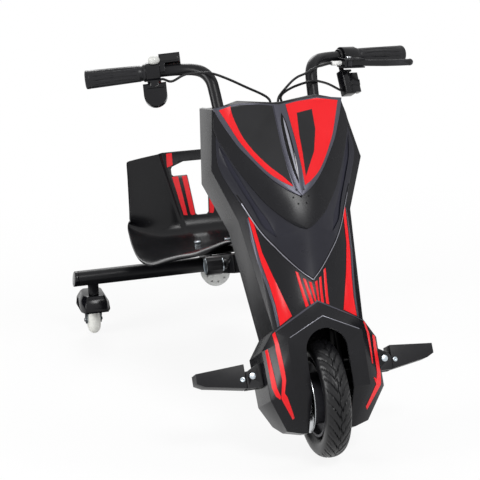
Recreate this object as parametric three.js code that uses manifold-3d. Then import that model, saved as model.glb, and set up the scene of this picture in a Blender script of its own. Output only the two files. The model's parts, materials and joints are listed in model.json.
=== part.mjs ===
import * as THREE from "three";
import { mergeVertices } from "three/addons/utils/BufferGeometryUtils.js";
import Module from "manifold-3d";

const wasm = await Module();
wasm.setup();

// Lengths are in millimetres. The rider faces -Y, +Z is up and +X is the rider's left.

// Fits
const restGap = 0.3;
const runGap = 0.5;
const slideGap = 0.4;
const weld = 0.0001;
const overrun = 30;
const far = 2000;

// Round counts
const fineSides = 40;
const roundSides = 20;
const smallSides = 12;
const cordSides = 7;
const bendSteps = 6;
const cableSteps = 3;

// Front wheel
const wheelRadius = 108;
const tyreWidth = 50;
const tyreHeight = 38;
const beadInset = 7;
const rimWidth = 34;
const rimWall = 5;
const hubRadius = 46;
const hubWidth = 60;
const spokeWeb = 12;
const axleRadius = 6;
const axleOverhang = 12;
const nutRadius = 10;
const nutThickness = 7;
const rotorRadius = 60;
const rotorThickness = 2;
const rotorBore = 24;

// Fork and steering
const rakeAngle = THREE.MathUtils.degToRad(28.6);
const forkGap = 78;
const legThickness = 8;
const legDepth = 34;
const legTail = 18;
const crownClearance = 17;
const crownThickness = 8;
const trayReach = 50;
const crownBack = 24;
const collarRadius = 18;
const steererRadius = 14.3;
const headTubeMiddle = 250;
const headTubeLength = 90;
const headTubeRadius = 21;
const headTubeBore = 16;
const cupRadius = 23;
const cupHeight = 8;
const stubRadius = 10;
const stubHeight = 52;

// Brake
const caliperLength = 34;
const caliperHeight = 24;
const caliperPlace = 50;
const caliperLip = 6;
const padGap = 0.5;

// Main beam and rear frame
const wheelbase = 802;
const casterTrail = 27;
const crossTubeHeight = 138.5;
const crossTubeRadius = 17;
const crossTubeWall = 2;
const crossTubeHalfLength = 316;
const capThickness = 10;
const capSlant = THREE.MathUtils.degToRad(-8);
const capPlug = 10;
const casterInset = 42;
const socketRadius = 12;
const socketBore = 6.6;
const socketGap = 2;
const pinTopGap = 2;
const sleeveWidth = 40;
const sleeveWall = 2;
const sleeveLength = 276;
const beamWall = 2;
const beamInsert = 130;
const gussetLength = 75;
const gussetThickness = 6;
const gussetDrop = 40;

// Clamp knob
const knobPlace = 223;
const knobRadius = 20;
const knobLength = 34;
const knobRibs = 12;
const knobRibDepth = 1.6;
const bossRadius = 10;
const bossLength = 7;
const studRadius = 4;
const ringRadius = 8;
const ringLength = 6;

// Horn
const hornRadius = 33;
const hornThickness = 22;
const hornSide = 14;
const hornDrop = 28.5;
const hornStrapRise = 11.5;
const hornStrapDrop = 38.5;
const hornRim = 4;
const hornStrapWidth = 14;
const hornStrapThickness = 3;

// Casters
const casterWheelRadius = 32;
const casterWheelWidth = 26;
const casterAxleRadius = 4;
const casterForkWall = 3;
const casterForkGap = 29;
const casterPlateAhead = 10;
const casterPlateLength = 40;
const casterLegTop = 28;
const casterEyeRadius = 9;
const casterPinRadius = 6;
const pinTopDrop = 10.5;
const casterAxleEnd = 3;
const casterBevel = 8;
const hoodBottom = 64;
const hoodTop = 99;
const hoodWidth = 66;
const hoodLength = 98;
const hoodBack = 16;
const hoodWall = 3;

// Seat
const seatWall = 4.5;
const seatHalfWidth = 190;
const seatWing = 64;
const seatRise = 42;
const seatHump = 24;
const seatDepth = 285;
const seatStand = 54.5;
const seatHeight = 183;
const seatSlotHalf = 60;
const seatSlotHeight = 30;
const seatSlotDip = 11;
const seatSlotShoulder = 30;
const seatSlotRise = 160;
const neckTopHalf = 24;
const neckLowHalf = 15;
const neckRise = 42;
const bracketWidth = 120;
const bracketLength = 120;
const bracketWall = 4;
const bracketBack = 37;
const bracketLegDrop = 38;
const seatBoltRadius = 5;
const seatBoltHead = 8;
const seatBoltHeadHeight = 4;
const seatBoltSpacing = 70;
const seatBoltForward = 11;
const seatBoltTail = 6;

// Shield
const shieldHalfWidth = 143;
const shieldHeight = 543;
const noseReach = 89;
const shellBack = 55;
const topRise = 33;
const shellWall = 3;
const wallSlope = 1.4;
const slotHalf = 38;
const slotCrown = 111;
const groundClearance = 50;
const coverThickness = 3;
const lowerCoverTop = 165;
const upperCoverBottom = 340;
const coverDrop = 3;
const cableHoleRadius = 19;
const cableHoleSide = 17;

// Handlebar
const barRadius = 11.1;
const barWall = 2;
const barLowSide = 80;
const barSide = 98;
const barBack = 31.5;
const barBendRise = 97;
const barElbowSide = 150;
const barElbowBack = 70;
const barElbowRise = 19;
const barEndSide = 316;
const barEndBack = 112;
const barEndRise = 8;
const barLowerBend = 30;
const barUpperBend = 38;
const barElbowBend = 28;
const clampHalfWidth = 28;
const clampHeight = 28;
const clampWall = 8;

// Grips
const gripLength = 112;
const gripInnerRadius = 15;
const gripOuterRadius = 18;
const gripEnd = 4;

// Throttle
const throttleWidth = 26;
const throttleRadius = 19;
const lugDrop = 20;
const lugHalfDepth = 6;
const earHalf = 7;
const paddlePin = 2.5;
const pinReach = 6;
const paddleWidth = 44;
const paddleHeight = 40;
const paddleThickness = 14;
const paddleDrop = 29;
const displayWidth = 40;
const displayDepth = 30;
const displayHeight = 18;
const saddleWidth = 10;
const saddleDrop = 6;

// Brake lever and left-hand pod
const leverClampWidth = 30;
const leverClampRadius = 19;
const leverForward = 30;
const leverDrop = 8;
const leverHouseLength = 34;
const leverHouseDepth = 28;
const leverHouseHeight = 18;
const leverWall = 3;
const leverMouth = 12;
const leverReach = 128;
const leverThickness = 9;
const leverHeight = 12;
const leverEye = 9;
const leverBall = 7;
const leverPivotRadius = 3;
const leverPivotHead = 5.5;
const leverPivotHeadHeight = 3;
const adjusterRadius = 4.5;
const adjusterLength = 22;
const podStrapWidth = 6.5;
const podStrapRadius = 15;
const podNeckHalf = 5;
const podInset = 130;
const podWidth = 23;
const podDepth = 22;
const podHeight = 49;
const podDrop = 30;
const podFlange = 4;
const podNotch = 10;
const podPin = 2;
const podPlateReach = 22;
const podPlateThickness = 6;
const podHook = 6;

// Battery and controller
const batteryWidth = 116;
const batteryDepth = 56;
const batteryDrop = 51;
const controllerWidth = 72;
const controllerDepth = 24;
const controllerHeight = 52;
const controllerGap = 4;

// Foot pegs
const clevisInner = 107;
const clevisOuter = 136;
const clevisHalfHeight = 21;
const clevisHalfDepth = 17;
const clevisWeb = 5;
const pegPivotSide = 124;
const pegFold = THREE.MathUtils.degToRad(60);
const tongueThickness = 11;
const tongueRadius = 11;
const pegClearance = 1;
const pegLength = 86;
const pegDepth = 36;
const pegTopInner = 23;
const pegTopOuter = 18;
const pegLowInner = 20;
const pegLowOuter = 7;
const pegToe = 14;
const pegSweep = THREE.MathUtils.degToRad(7.5);
const pegBoltRadius = 4;
const pegBoltHead = 6;
const pegBoltHeadHeight = 3;

// Cables
const cableRadius = 2.4;
const cableGap = 4;

// Finishes
const finishes = {
  shellBlack: { color: 0x2a2a2e, roughness: 0.28, metalness: 0 },
  coverBlack: { color: 0x2e2e31, roughness: 0.45, metalness: 0 },
  framePaint: { color: 0x26262a, roughness: 0.35, metalness: 0.2 },
  seatPlastic: { color: 0x333336, roughness: 0.5, metalness: 0 },
  rubber: { color: 0x232325, roughness: 0.85, metalness: 0 },
  tyreRubber: { color: 0x2b2b2d, roughness: 0.9, metalness: 0 },
  castAlloy: { color: 0x3c3c40, roughness: 0.5, metalness: 0.6 },
  zinc: { color: 0xb9c2c8, roughness: 0.35, metalness: 0.9 },
  steel: { color: 0xcfd2d4, roughness: 0.3, metalness: 0.9 },
  whiteWheel: { color: 0xe6e6e2, roughness: 0.5, metalness: 0 },
  hornShell: { color: 0xd2d3d2, roughness: 0.4, metalness: 0.1 },
  whitePlastic: { color: 0xf0f0ee, roughness: 0.4, metalness: 0 },
  batteryWrap: { color: 0x1f4f8f, roughness: 0.5, metalness: 0 },
};

// Solid tools

// A solid of a geometry, with its equal corners joined
function solidOf(geometry) {
  const flat = geometry.index ? geometry.toNonIndexed() : geometry;
  const bare = new THREE.BufferGeometry();
  bare.setAttribute("position", flat.getAttribute("position"));
  const merged = mergeVertices(bare, weld);
  return new wasm.Manifold(
    new wasm.Mesh({
      numProp: 3,
      vertProperties: merged.attributes.position.array,
      triVerts: new Uint32Array(merged.index.array),
    }),
  );
}

function geometryOf(solid) {
  const mesh = solid.getMesh();
  const corners = new Float32Array(mesh.numVert * 3);
  for (let i = 0; i < mesh.numVert; i++) {
    corners.set(mesh.vertProperties.subarray(i * mesh.numProp, i * mesh.numProp + 3), i * 3);
  }
  const geometry = new THREE.BufferGeometry();
  geometry.setAttribute("position", new THREE.BufferAttribute(corners, 3));
  geometry.setIndex(new THREE.BufferAttribute(mesh.triVerts, 1));
  return geometry;
}

const join = (first, ...rest) =>
  geometryOf(rest.reduce((sum, next) => sum.add(solidOf(next)), solidOf(first)));

const cut = (first, ...rest) =>
  geometryOf(rest.reduce((left, next) => left.subtract(solidOf(next)), solidOf(first)));

const common = (first, second) => geometryOf(solidOf(first).intersect(solidOf(second)));

const at = (x, y, z) => new THREE.Vector3(x, y, z);

// A box from its lowest to its highest corner
function box(low, high) {
  const size = high.clone().sub(low);
  const middle = high.clone().add(low).multiplyScalar(0.5);
  return new THREE.BoxGeometry(size.x, size.y, size.z).translate(middle.x, middle.y, middle.z);
}

// A round bar between two points
function rod(radius, from, to, sides = roundSides) {
  const way = to.clone().sub(from);
  const turn = new THREE.Quaternion().setFromUnitVectors(at(0, 1, 0), way.clone().normalize());
  const middle = from.clone().add(to).multiplyScalar(0.5);
  return new THREE.CylinderGeometry(radius, radius, way.length(), sides)
    .applyQuaternion(turn)
    .translate(middle.x, middle.y, middle.z);
}

// A turned body round X from a closed outline of [radius, x] points
function turnedX(outline, sides = fineSides) {
  const points = outline.map(([r, x]) => new THREE.Vector2(r, x));
  return new THREE.LatheGeometry(points, sides).rotateZ(-Math.PI / 2);
}

// A flat outline of [x, z] points, given thickness along Y
function plateXZ(outline, fromY, toY) {
  const shape = new THREE.Shape(outline.map(([x, z]) => new THREE.Vector2(x, z)));
  return new THREE.ExtrudeGeometry(shape, { depth: toY - fromY, bevelEnabled: false })
    .rotateX(Math.PI / 2)
    .translate(0, toY, 0);
}

// A flat outline of [x, y] points, given thickness along Z
function plateXY(outline, fromZ, toZ) {
  const shape = new THREE.Shape(outline.map(([x, y]) => new THREE.Vector2(x, y)));
  return new THREE.ExtrudeGeometry(shape, { depth: toZ - fromZ, bevelEnabled: false })
    .translate(0, 0, fromZ);
}

// A path through straight runs whose corners are rounded
function roundedPath(corners, bends) {
  const path = new THREE.CurvePath();
  let last = corners[0];
  bends.forEach((bend, i) => {
    const corner = corners[i + 1];
    const into = corner.clone().sub(corners[i]).normalize();
    const out = corners[i + 2].clone().sub(corner).normalize();
    const start = corner.clone().addScaledVector(into, -bend);
    const end = corner.clone().addScaledVector(out, bend);
    path.add(new THREE.LineCurve3(last, start));
    path.add(new THREE.QuadraticBezierCurve3(start, corner, end));
    last = end;
  });
  path.add(new THREE.LineCurve3(last, corners[corners.length - 1]));
  return path;
}

// Rings of points round a route, each held square to it
function ringsAlong(points, radius, sides) {
  let side = null;
  return points.map((point, i) => {
    const before = points[Math.max(i - 1, 0)];
    const after = points[Math.min(i + 1, points.length - 1)];
    const way = after.clone().sub(before).normalize();
    if (!side) {
      const level = Math.abs(way.z) < Math.SQRT1_2;
      side = (level ? at(0, 0, 1) : at(1, 0, 0)).cross(way);
    }
    side = side.clone().addScaledVector(way, -side.dot(way)).normalize();
    const up = way.clone().cross(side);
    return Array.from({ length: sides }, (_, k) => {
      const turn = (2 * Math.PI * k) / sides;
      return point.clone()
        .addScaledVector(side, radius * Math.cos(turn))
        .addScaledVector(up, radius * Math.sin(turn));
    });
  });
}

// The skin between one ring and the next, facing out of the route
function skinOf(rings) {
  const faces = [];
  for (let i = 0; i + 1 < rings.length; i++) {
    rings[i].forEach((corner, k) => {
      const n = (k + 1) % rings[i].length;
      faces.push([corner, rings[i][n], rings[i + 1][n]]);
      faces.push([corner, rings[i + 1][n], rings[i + 1][k]]);
    });
  }
  return faces;
}

// The flat end of a ring, facing along the route, with a ring-shaped hole or none
function endOf(ring, hole, middle) {
  return ring.flatMap((corner, k) => {
    const n = (k + 1) % ring.length;
    if (!hole) return [[corner, ring[n], middle]];
    return [[corner, ring[n], hole[n]], [corner, hole[n], hole[k]]];
  });
}

const turnedOver = (faces) => faces.map(([a, b, c]) => [a, c, b]);
const faceted = (faces) => new THREE.BufferGeometry().setFromPoints(faces.flat());

// A round bar, or a tube where it has a bore, swept along points
function swept(points, radius, sides, bore = 0) {
  const outer = ringsAlong(points, radius, sides);
  const inner = bore > 0 ? ringsAlong(points, bore, sides) : null;
  const top = points.length - 1;
  const faces = skinOf(outer);
  if (inner) faces.push(...turnedOver(skinOf(inner)));
  faces.push(...endOf(outer[top], inner && inner[top], points[top]));
  faces.push(...turnedOver(endOf(outer[0], inner && inner[0], points[0])));
  return faceted(faces);
}

const group = (name, body) => {
  const holder = new THREE.Group();
  holder.name = name;
  body.add(holder);
  return holder;
};

function piece(holder, name, geometry, finish) {
  const mesh = new THREE.Mesh(geometry, new THREE.MeshStandardMaterial(finishes[finish]));
  mesh.name = name;
  holder.add(mesh);
  return mesh;
}

const trike = new THREE.Group();
trike.name = "drift_trike";

// The front module stands upright in its own frame, with the axle at its origin, and leans back
// by the rake as a whole
const front = group("front_module", trike);
front.rotation.x = -rakeAngle;
front.position.z = wheelRadius;

// Front wheel
function tyreGeometry() {
  const half = tyreWidth / 2;
  const seat = wheelRadius - tyreHeight;
  const bead = half - beadInset;
  const shoulderShare = 0.92;
  const shoulderRiseShare = 0.35;
  const crownShares = [[0.42, 0.985], [0.74, 0.93], [0.94, 0.83]];
  const side = crownShares.map(([x, r]) => [wheelRadius * r, half * x]);
  const wall = [[seat + tyreHeight * shoulderRiseShare, half * shoulderShare], [seat, bead]];
  const right = [...side, ...wall];
  const left = right.map(([r, x]) => [r, -x]).reverse();
  return turnedX([[seat, -bead], ...left.slice(1), [wheelRadius, 0], ...right, [seat, -bead]]);
}

function hubMotorGeometry() {
  const seat = wheelRadius - tyreHeight - restGap;
  const rim = seat - rimWall;
  const halfRim = rimWidth / 2;
  const halfWeb = spokeWeb / 2;
  const halfHub = hubWidth / 2;
  const bore = axleRadius + runGap;
  return turnedX([
    [bore, -halfHub], [hubRadius, -halfHub], [hubRadius, -halfWeb], [rim, -halfWeb],
    [rim, -halfRim], [seat, -halfRim], [seat, halfRim], [rim, halfRim], [rim, halfWeb],
    [hubRadius, halfWeb], [hubRadius, halfHub], [bore, halfHub], [bore, -halfHub],
  ]);
}

const rotorSide = -(hubWidth / 2 + restGap);
const rotorFar = rotorSide - rotorThickness;
piece(front, "tyre", tyreGeometry(), "tyreRubber");
piece(front, "hub_motor", hubMotorGeometry(), "castAlloy");
piece(front, "brake_rotor", turnedX([
  [rotorBore, rotorFar], [rotorRadius, rotorFar], [rotorRadius, rotorSide],
  [rotorBore, rotorSide], [rotorBore, rotorFar],
]), "steel");

// Axle, with a nut outside each fork leg
const legInner = forkGap / 2;
const legOuter = legInner + legThickness;
const axleEnd = legOuter + nutThickness + axleOverhang;
piece(front, "front_axle", rod(axleRadius, at(-axleEnd, 0, 0), at(axleEnd, 0, 0)), "steel");
function nutGeometry(side) {
  const from = at(side * (legOuter + restGap), 0, 0);
  const to = at(side * (legOuter + restGap + nutThickness), 0, 0);
  const bore = rod(axleRadius + restGap, at(-axleEnd, 0, 0), at(axleEnd, 0, 0));
  return cut(rod(nutRadius, from, to, 6), bore);
}
piece(front, "axle_nut_right", nutGeometry(-1), "steel");
piece(front, "axle_nut_left", nutGeometry(1), "steel");

// Fork: two legs, a crown that also carries the controller, a collar and the steerer
const crownLow = wheelRadius + crownClearance;
const crownTop = crownLow + crownThickness;
const headTubeLow = headTubeMiddle - headTubeLength / 2;
const headTubeTop = headTubeMiddle + headTubeLength / 2;
const cupLow = headTubeLow - restGap - cupHeight;
const cupTop = headTubeTop + restGap + cupHeight;
const collarTop = cupLow - restGap;
const clampLow = cupTop + restGap;
const clampTop = clampLow + clampHeight;
const barCrossHeight = clampLow + clampHeight / 2;
const barBendHeight = shieldHeight + barBendRise;
const barElbowHeight = barBendHeight + barElbowRise;
const barEndHeight = barElbowHeight + barEndRise;
function forkGeometry() {
  const leg = (side) => box(
    at(Math.min(side * legInner, side * legOuter), -legDepth / 2, -legTail),
    at(Math.max(side * legInner, side * legOuter), legDepth / 2, crownTop),
  );
  const crown = box(at(-legOuter, -trayReach, crownLow), at(legOuter, crownBack, crownTop));
  const collar = rod(collarRadius, at(0, 0, crownLow), at(0, 0, collarTop));
  const steerer = rod(steererRadius, at(0, 0, crownLow), at(0, 0, clampTop));
  const stub = (side) => rod(stubRadius,
    at(side * legInner, 0, stubHeight), at(side * (clevisInner - restGap), 0, stubHeight));
  const bore = rod(axleRadius + restGap, at(-axleEnd, 0, 0), at(axleEnd, 0, 0));
  return cut(join(leg(-1), leg(1), crown, collar, steerer, stub(-1), stub(1)), bore);
}
piece(front, "fork", forkGeometry(), "framePaint");

// Headset cups, with room for the steerer to turn
function cupGeometry(low) {
  const ring = rod(cupRadius, at(0, 0, low), at(0, 0, low + cupHeight));
  const bore = rod(steererRadius + runGap, at(0, 0, low - overrun), at(0, 0, low + overrun));
  return cut(ring, bore);
}

// Disc brake caliper on the inside of the right leg, round the rotor's edge
function caliperGeometry() {
  const body = box(at(-legInner + restGap, -caliperLength / 2, caliperPlace),
    at(rotorSide + caliperLip, caliperLength / 2, caliperPlace + caliperHeight));
  const room = rod(rotorRadius + runGap,
    at(rotorFar - padGap, 0, 0), at(rotorSide + padGap, 0, 0), fineSides);
  return cut(body, room);
}
piece(front, "brake_caliper", caliperGeometry(), "castAlloy");

// Shield: the corners of its front, each as shares of half width, height and nose reach
const shieldShares = {
  topDip: [0, 1, 0.42],
  topPeak: [0.52, 1.017, 0.44],
  topCorner: [0.865, 0.995, 0.4],
  badgeTip: [0, 0.645, 0.905],
  badgeLow: [0.267, 0.723, 0.79],
  badgeHigh: [0.546, 0.845, 0.61],
  badgeTop: [0.813, 0.985, 0.43],
  tierTip: [0, 0.537, 0.94],
  tierLow: [0.297, 0.598, 0.83],
  tierMid: [0.593, 0.707, 0.64],
  tierHigh: [0.834, 0.868, 0.45],
  chestTip: [0, 0.369, 0.76],
  chestLow: [0.415, 0.485, 0.66],
  chestMid: [0.64, 0.613, 0.49],
  chestHigh: [0.89, 0.815, 0.44],
  elbow: [1, 0.786, 0.38],
  waist: [0.745, 0.61, 0.3],
  wedgeOuter: [0.508, 0.236, 0.66],
  wedgeInner: [0.335, 0.261, 0.71],
  hip: [0.586, 0.225, 0.6],
  archTip: [0, 0.297, 0.81],
  guardTip: [0, 0.246, 0.98],
  guardShoulder: [0.481, 0.185, 0.93],
  flare: [0.75, 0.164, 0.45],
  flareLow: [0.736, 0.003, 0.45],
  guardMiddle: [0, 0.006, 0.86],
  guardLow: [0.481, 0.006, 0.84],
  chinMiddle: [0, -0.112, 0.14],
  chin: [0.34, -0.112, 0.13],
  chinOuter: [0.53, -0.097, 0.07],
};
const shieldFaces = [
  ["topDip", "badgeTip", "badgeLow", "badgeHigh", "badgeTop", "topPeak"],
  ["badgeTip", "tierTip", "tierLow", "badgeLow"],
  ["badgeLow", "tierLow", "tierMid", "badgeHigh"],
  ["badgeHigh", "tierMid", "tierHigh", "badgeTop"],
  ["tierTip", "chestTip", "chestLow", "tierLow"],
  ["tierLow", "chestLow", "chestMid", "tierMid"],
  ["tierMid", "chestMid", "chestHigh", "tierHigh"],
  ["badgeTop", "tierHigh", "chestHigh", "elbow", "topCorner"],
  ["topPeak", "badgeTop", "topCorner"],
  ["chestHigh", "chestMid", "waist", "elbow"],
  ["chestTip", "archTip", "wedgeInner", "chestLow"],
  ["chestLow", "wedgeInner", "wedgeOuter", "chestMid"],
  ["chestMid", "wedgeOuter", "hip", "waist"],
  ["archTip", "guardTip", "guardShoulder", "wedgeInner"],
  ["wedgeInner", "guardShoulder", "wedgeOuter"],
  ["wedgeOuter", "guardShoulder", "hip"],
  ["hip", "guardShoulder", "flare"],
  ["guardTip", "guardMiddle", "guardLow", "guardShoulder"],
  ["guardShoulder", "guardLow", "flareLow", "flare"],
  ["guardMiddle", "chinMiddle", "chin", "guardLow"],
  ["guardLow", "chin", "chinOuter", "flareLow"],
];
const shieldEdge = [
  "topDip", "topPeak", "topCorner", "elbow", "waist", "hip", "flare", "flareLow",
  "chinOuter", "chin", "chinMiddle",
];
const shieldRim = { topDip: "badgeTip", topPeak: "badgeHigh", topCorner: "elbow" };
const shieldChin = ["chinMiddle", "chin", "chinOuter"];

// The shield as one closed body: wall draws it in all round, and an open one runs out past its
// top, in line with its front faces, and past its back
function shieldBody(wall, open) {
  const corner = (name) => {
    const [x, z, y] = shieldShares[name];
    const raise = shieldChin.includes(name) ? wall : 0;
    const across = Math.max(x * shieldHalfWidth - wall * Math.sign(x), 0);
    return at(across, -(y * noseReach - wall * wallSlope), z * shieldHeight + raise);
  };
  const place = (name) => {
    const spot = corner(name);
    if (!open || !shieldRim[name]) return spot;
    const step = spot.clone().sub(corner(shieldRim[name]));
    return spot.addScaledVector(step, overrun / step.z);
  };
  const backPlace = (name) => {
    const spot = place(name);
    spot.y = shellBack + (open ? overrun : 0);
    if (shieldRim[name]) spot.z += topRise;
    return spot;
  };
  const half = [];
  shieldFaces.forEach((names) => {
    const spots = names.map(place);
    for (let i = 1; i + 1 < spots.length; i++) half.push([spots[0], spots[i], spots[i + 1]]);
  });
  const fronts = shieldEdge.map(place);
  const backs = shieldEdge.map(backPlace);
  for (let i = 0; i + 1 < fronts.length; i++) {
    half.push([fronts[i], fronts[i + 1], backs[i + 1]]);
    half.push([fronts[i], backs[i + 1], backs[i]]);
  }
  const flat = backs.map((spot) => new THREE.Vector2(spot.x, spot.z));
  THREE.ShapeUtils.triangulateShape(flat, []).forEach((corners) => {
    const [a, b, c] = corners.map((k) => backs[k]);
    const turn = b.clone().sub(a).cross(c.clone().sub(a));
    half.push(turn.y > 0 ? [a, b, c] : [a, c, b]);
  });
  const flip = (spot) => at(-spot.x, spot.y, spot.z);
  return faceted([...half, ...half.map(([a, b, c]) => [flip(a), flip(c), flip(b)])]);
}

// Everything under a level above the floor, in the leaning frame
function underLevel(lift) {
  return box(at(-far, -far, -far), at(far, far, lift - wheelRadius)).rotateX(rakeAngle);
}

// The wheel's slot, from below the shield up to its round crown
function wheelSlot(half, crown) {
  const middle = crown - half;
  const arc = Array.from({ length: roundSides + 1 }, (_, k) => {
    const turn = (Math.PI * k) / roundSides;
    return [half * Math.cos(turn), middle + half * Math.sin(turn)];
  });
  return plateXZ([[-half, -shieldHeight], [half, -shieldHeight], ...arc], -far, far);
}

// The level of the shield's top, drop below its rim
function aboveTop(drop) {
  const tilt = Math.atan2(topRise, shellBack + shieldShares.topDip[2] * noseReach);
  const lip = at(0, -shieldShares.topDip[2] * noseReach, shieldHeight - drop);
  return box(at(-far, -far, 0), at(far, far, far)).rotateX(tilt).translate(lip.x, lip.y, lip.z);
}

// The straight upright of the bar on one side, from its cross run to its bend
function barUpright(side, radius) {
  return rod(radius, at(side * barLowSide, barBack, barCrossHeight),
    at(side * barSide, barBack, barBendHeight));
}

function frontShellGeometry() {
  const holes = rod(stubRadius + restGap,
    at(-far, 0, stubHeight), at(far, 0, stubHeight));
  return cut(shieldBody(0, false), shieldBody(shellWall, true),
    wheelSlot(slotHalf, slotCrown), underLevel(groundClearance), holes);
}

const coverRoom = shieldBody(shellWall + restGap, true);
function lowerCoverGeometry() {
  const slab = box(at(-far, shellBack - coverThickness, -shieldHeight),
    at(far, shellBack, lowerCoverTop));
  return cut(common(coverRoom, slab),
    wheelSlot(slotHalf, slotCrown), underLevel(groundClearance));
}

function topCoverGeometry() {
  const slab = cut(aboveTop(coverDrop + coverThickness), aboveTop(coverDrop));
  const ahead = box(at(-far, -far, 0), at(far, shellBack, far));
  const bars = [-1, 1].map((side) => barUpright(side, barRadius + restGap));
  const cables = rod(cableHoleRadius,
    at(cableHoleSide, barBack, upperCoverBottom), at(cableHoleSide, barBack, far));
  return cut(common(common(coverRoom, slab), ahead), ...bars, cables);
}

function upperCoverGeometry() {
  const slab = box(at(-far, shellBack - coverThickness, upperCoverBottom),
    at(far, shellBack, far));
  return cut(common(coverRoom, slab), aboveTop(coverDrop + coverThickness + restGap));
}
piece(front, "front_shield", frontShellGeometry(), "shellBlack");
piece(front, "rear_cover_lower", lowerCoverGeometry(), "coverBlack");
piece(front, "rear_cover_upper", upperCoverGeometry(), "coverBlack");
piece(front, "top_cover", topCoverGeometry(), "coverBlack");

// Handlebar: one bent tube, from grip to grip through a cross run in the clamp
const barCorners = [
  at(-barEndSide, barEndBack, barEndHeight), at(-barElbowSide, barElbowBack, barElbowHeight),
  at(-barSide, barBack, barBendHeight), at(-barLowSide, barBack, barCrossHeight),
  at(barLowSide, barBack, barCrossHeight), at(barSide, barBack, barBendHeight),
  at(barElbowSide, barElbowBack, barElbowHeight), at(barEndSide, barEndBack, barEndHeight),
];
const barBends = [
  barElbowBend, barUpperBend, barLowerBend, barLowerBend, barUpperBend, barElbowBend,
];
function handlebarGeometry() {
  const points = roundedPath(barCorners, barBends).curves.flatMap((curve, i) => {
    const run = curve.getPoints(curve.isLineCurve3 ? 1 : bendSteps);
    return i ? run.slice(1) : run;
  });
  return swept(points, barRadius, smallSides, barRadius - barWall);
}
piece(front, "handlebar", handlebarGeometry(), "framePaint");

// Clamp block on the steerer, which grips the cross run
function barClampGeometry() {
  const back = barBack + barRadius + clampWall;
  const body = box(at(-clampHalfWidth, -steererRadius - clampWall, clampLow),
    at(clampHalfWidth, back, clampTop));
  const bore = rod(steererRadius + restGap,
    at(0, 0, clampLow - overrun), at(0, 0, clampTop + overrun));
  const seat = rod(barRadius + restGap,
    at(-far, barBack, barCrossHeight), at(far, barBack, barCrossHeight));
  return cut(body, bore, seat);
}
piece(front, "bar_clamp", barClampGeometry(), "castAlloy");

// Battery on the clamp, between the bar's uprights
piece(front, "battery", box(
  at(-batteryWidth / 2, barBack + barRadius - batteryDepth, clampTop + restGap),
  at(batteryWidth / 2, barBack + barRadius, shieldHeight - batteryDrop),
), "batteryWrap");

// Controller on the crown's tray, ahead of the collar
piece(front, "controller", box(
  at(-controllerWidth / 2, -collarRadius - controllerGap - controllerDepth, crownTop + restGap),
  at(controllerWidth / 2, -collarRadius - controllerGap, crownTop + restGap + controllerHeight),
), "castAlloy");

// A frame at the bar's end: X runs along the bar towards the rider's left, Y back and Z along
// the fork, or nearer the upright where it is tilted
function barFrame(name, side, tilt) {
  const elbow = at(side * barElbowSide, barElbowBack, barElbowHeight);
  const end = at(side * barEndSide, barEndBack, barEndHeight);
  const along = end.clone().sub(elbow).multiplyScalar(side).normalize();
  const back = at(0, -Math.sin(tilt), Math.cos(tilt)).cross(along).normalize();
  const up = along.clone().cross(back);
  const holder = group(name, front);
  new THREE.Matrix4().makeBasis(along, back, up).setPosition(end)
    .decompose(holder.position, holder.quaternion, holder.scale);
  holder.updateMatrix();
  return holder;
}
const rightHand = barFrame("right_hand", -1, 0);
const leftHand = barFrame("left_hand", 1, 0);
const leverHand = barFrame("lever_hand", 1, rakeAngle);
const barRoom = (low, high) => rod(barRadius + restGap, at(low, 0, 0), at(high, 0, 0));

// Grips: rubber, wider at the closed outer end
function gripGeometry(side) {
  const bore = barRadius + restGap;
  const outline = [
    [0, restGap], [bore, restGap], [bore, -gripLength], [gripInnerRadius, -gripLength],
    [gripOuterRadius, gripEnd], [0, gripEnd],
  ];
  const grip = turnedX(outline, roundSides);
  return side < 0 ? grip.rotateZ(Math.PI) : grip;
}
piece(rightHand, "grip_right", gripGeometry(-1), "rubber");
piece(leftHand, "grip_left", gripGeometry(1), "rubber");

// Thumb throttle: a clamp with an ear below it, and a paddle hung on the ear's pin
const throttleNear = gripLength + restGap;
const throttleFar = throttleNear + throttleWidth;
const earMiddle = throttleNear + throttleWidth / 2;
function throttleClampGeometry() {
  const across = [earMiddle - earHalf, earMiddle + earHalf];
  const ring = rod(throttleRadius, at(throttleNear, 0, 0), at(throttleFar, 0, 0));
  const lug = box(at(throttleNear, -lugHalfDepth, -lugDrop), at(throttleFar, lugHalfDepth, 0));
  const ear = box(at(across[0], -lugHalfDepth, -paddleDrop), at(across[1], lugHalfDepth, 0));
  const tip = rod(lugHalfDepth, at(across[0], 0, -paddleDrop), at(across[1], 0, -paddleDrop));
  const pin = rod(paddlePin, at(across[0] - pinReach, 0, -paddleDrop),
    at(across[1] + pinReach, 0, -paddleDrop), smallSides);
  return cut(join(ring, lug, ear, tip, pin), barRoom(0, far));
}

function paddleGeometry() {
  const half = paddleWidth / 2;
  const thick = paddleThickness / 2;
  const [left, right] = [earMiddle - half, earMiddle + half];
  const low = half - paddleHeight;
  const curve = Array.from({ length: smallSides + 1 }, (_, k) => {
    const turn = Math.PI + (Math.PI * k) / smallSides;
    return [earMiddle + half * Math.cos(turn), low + half * Math.sin(turn)];
  });
  const face = plateXZ([[right, 0], [left, 0], ...curve], -thick, thick);
  const roll = rod(thick, at(left, 0, 0), at(right, 0, 0));
  const earRoom = rod(thick + runGap, at(earMiddle - earHalf - runGap, 0, 0),
    at(earMiddle + earHalf + runGap, 0, 0));
  const pinRoom = rod(paddlePin + runGap, at(earMiddle - earHalf - pinReach - runGap, 0, 0),
    at(earMiddle + earHalf + pinReach + runGap, 0, 0), smallSides);
  return cut(join(face, roll), earRoom, pinRoom).translate(0, 0, -paddleDrop);
}
piece(rightHand, "throttle_clamp", throttleClampGeometry(), "coverBlack");
piece(rightHand, "throttle_paddle", paddleGeometry(), "coverBlack");

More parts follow.
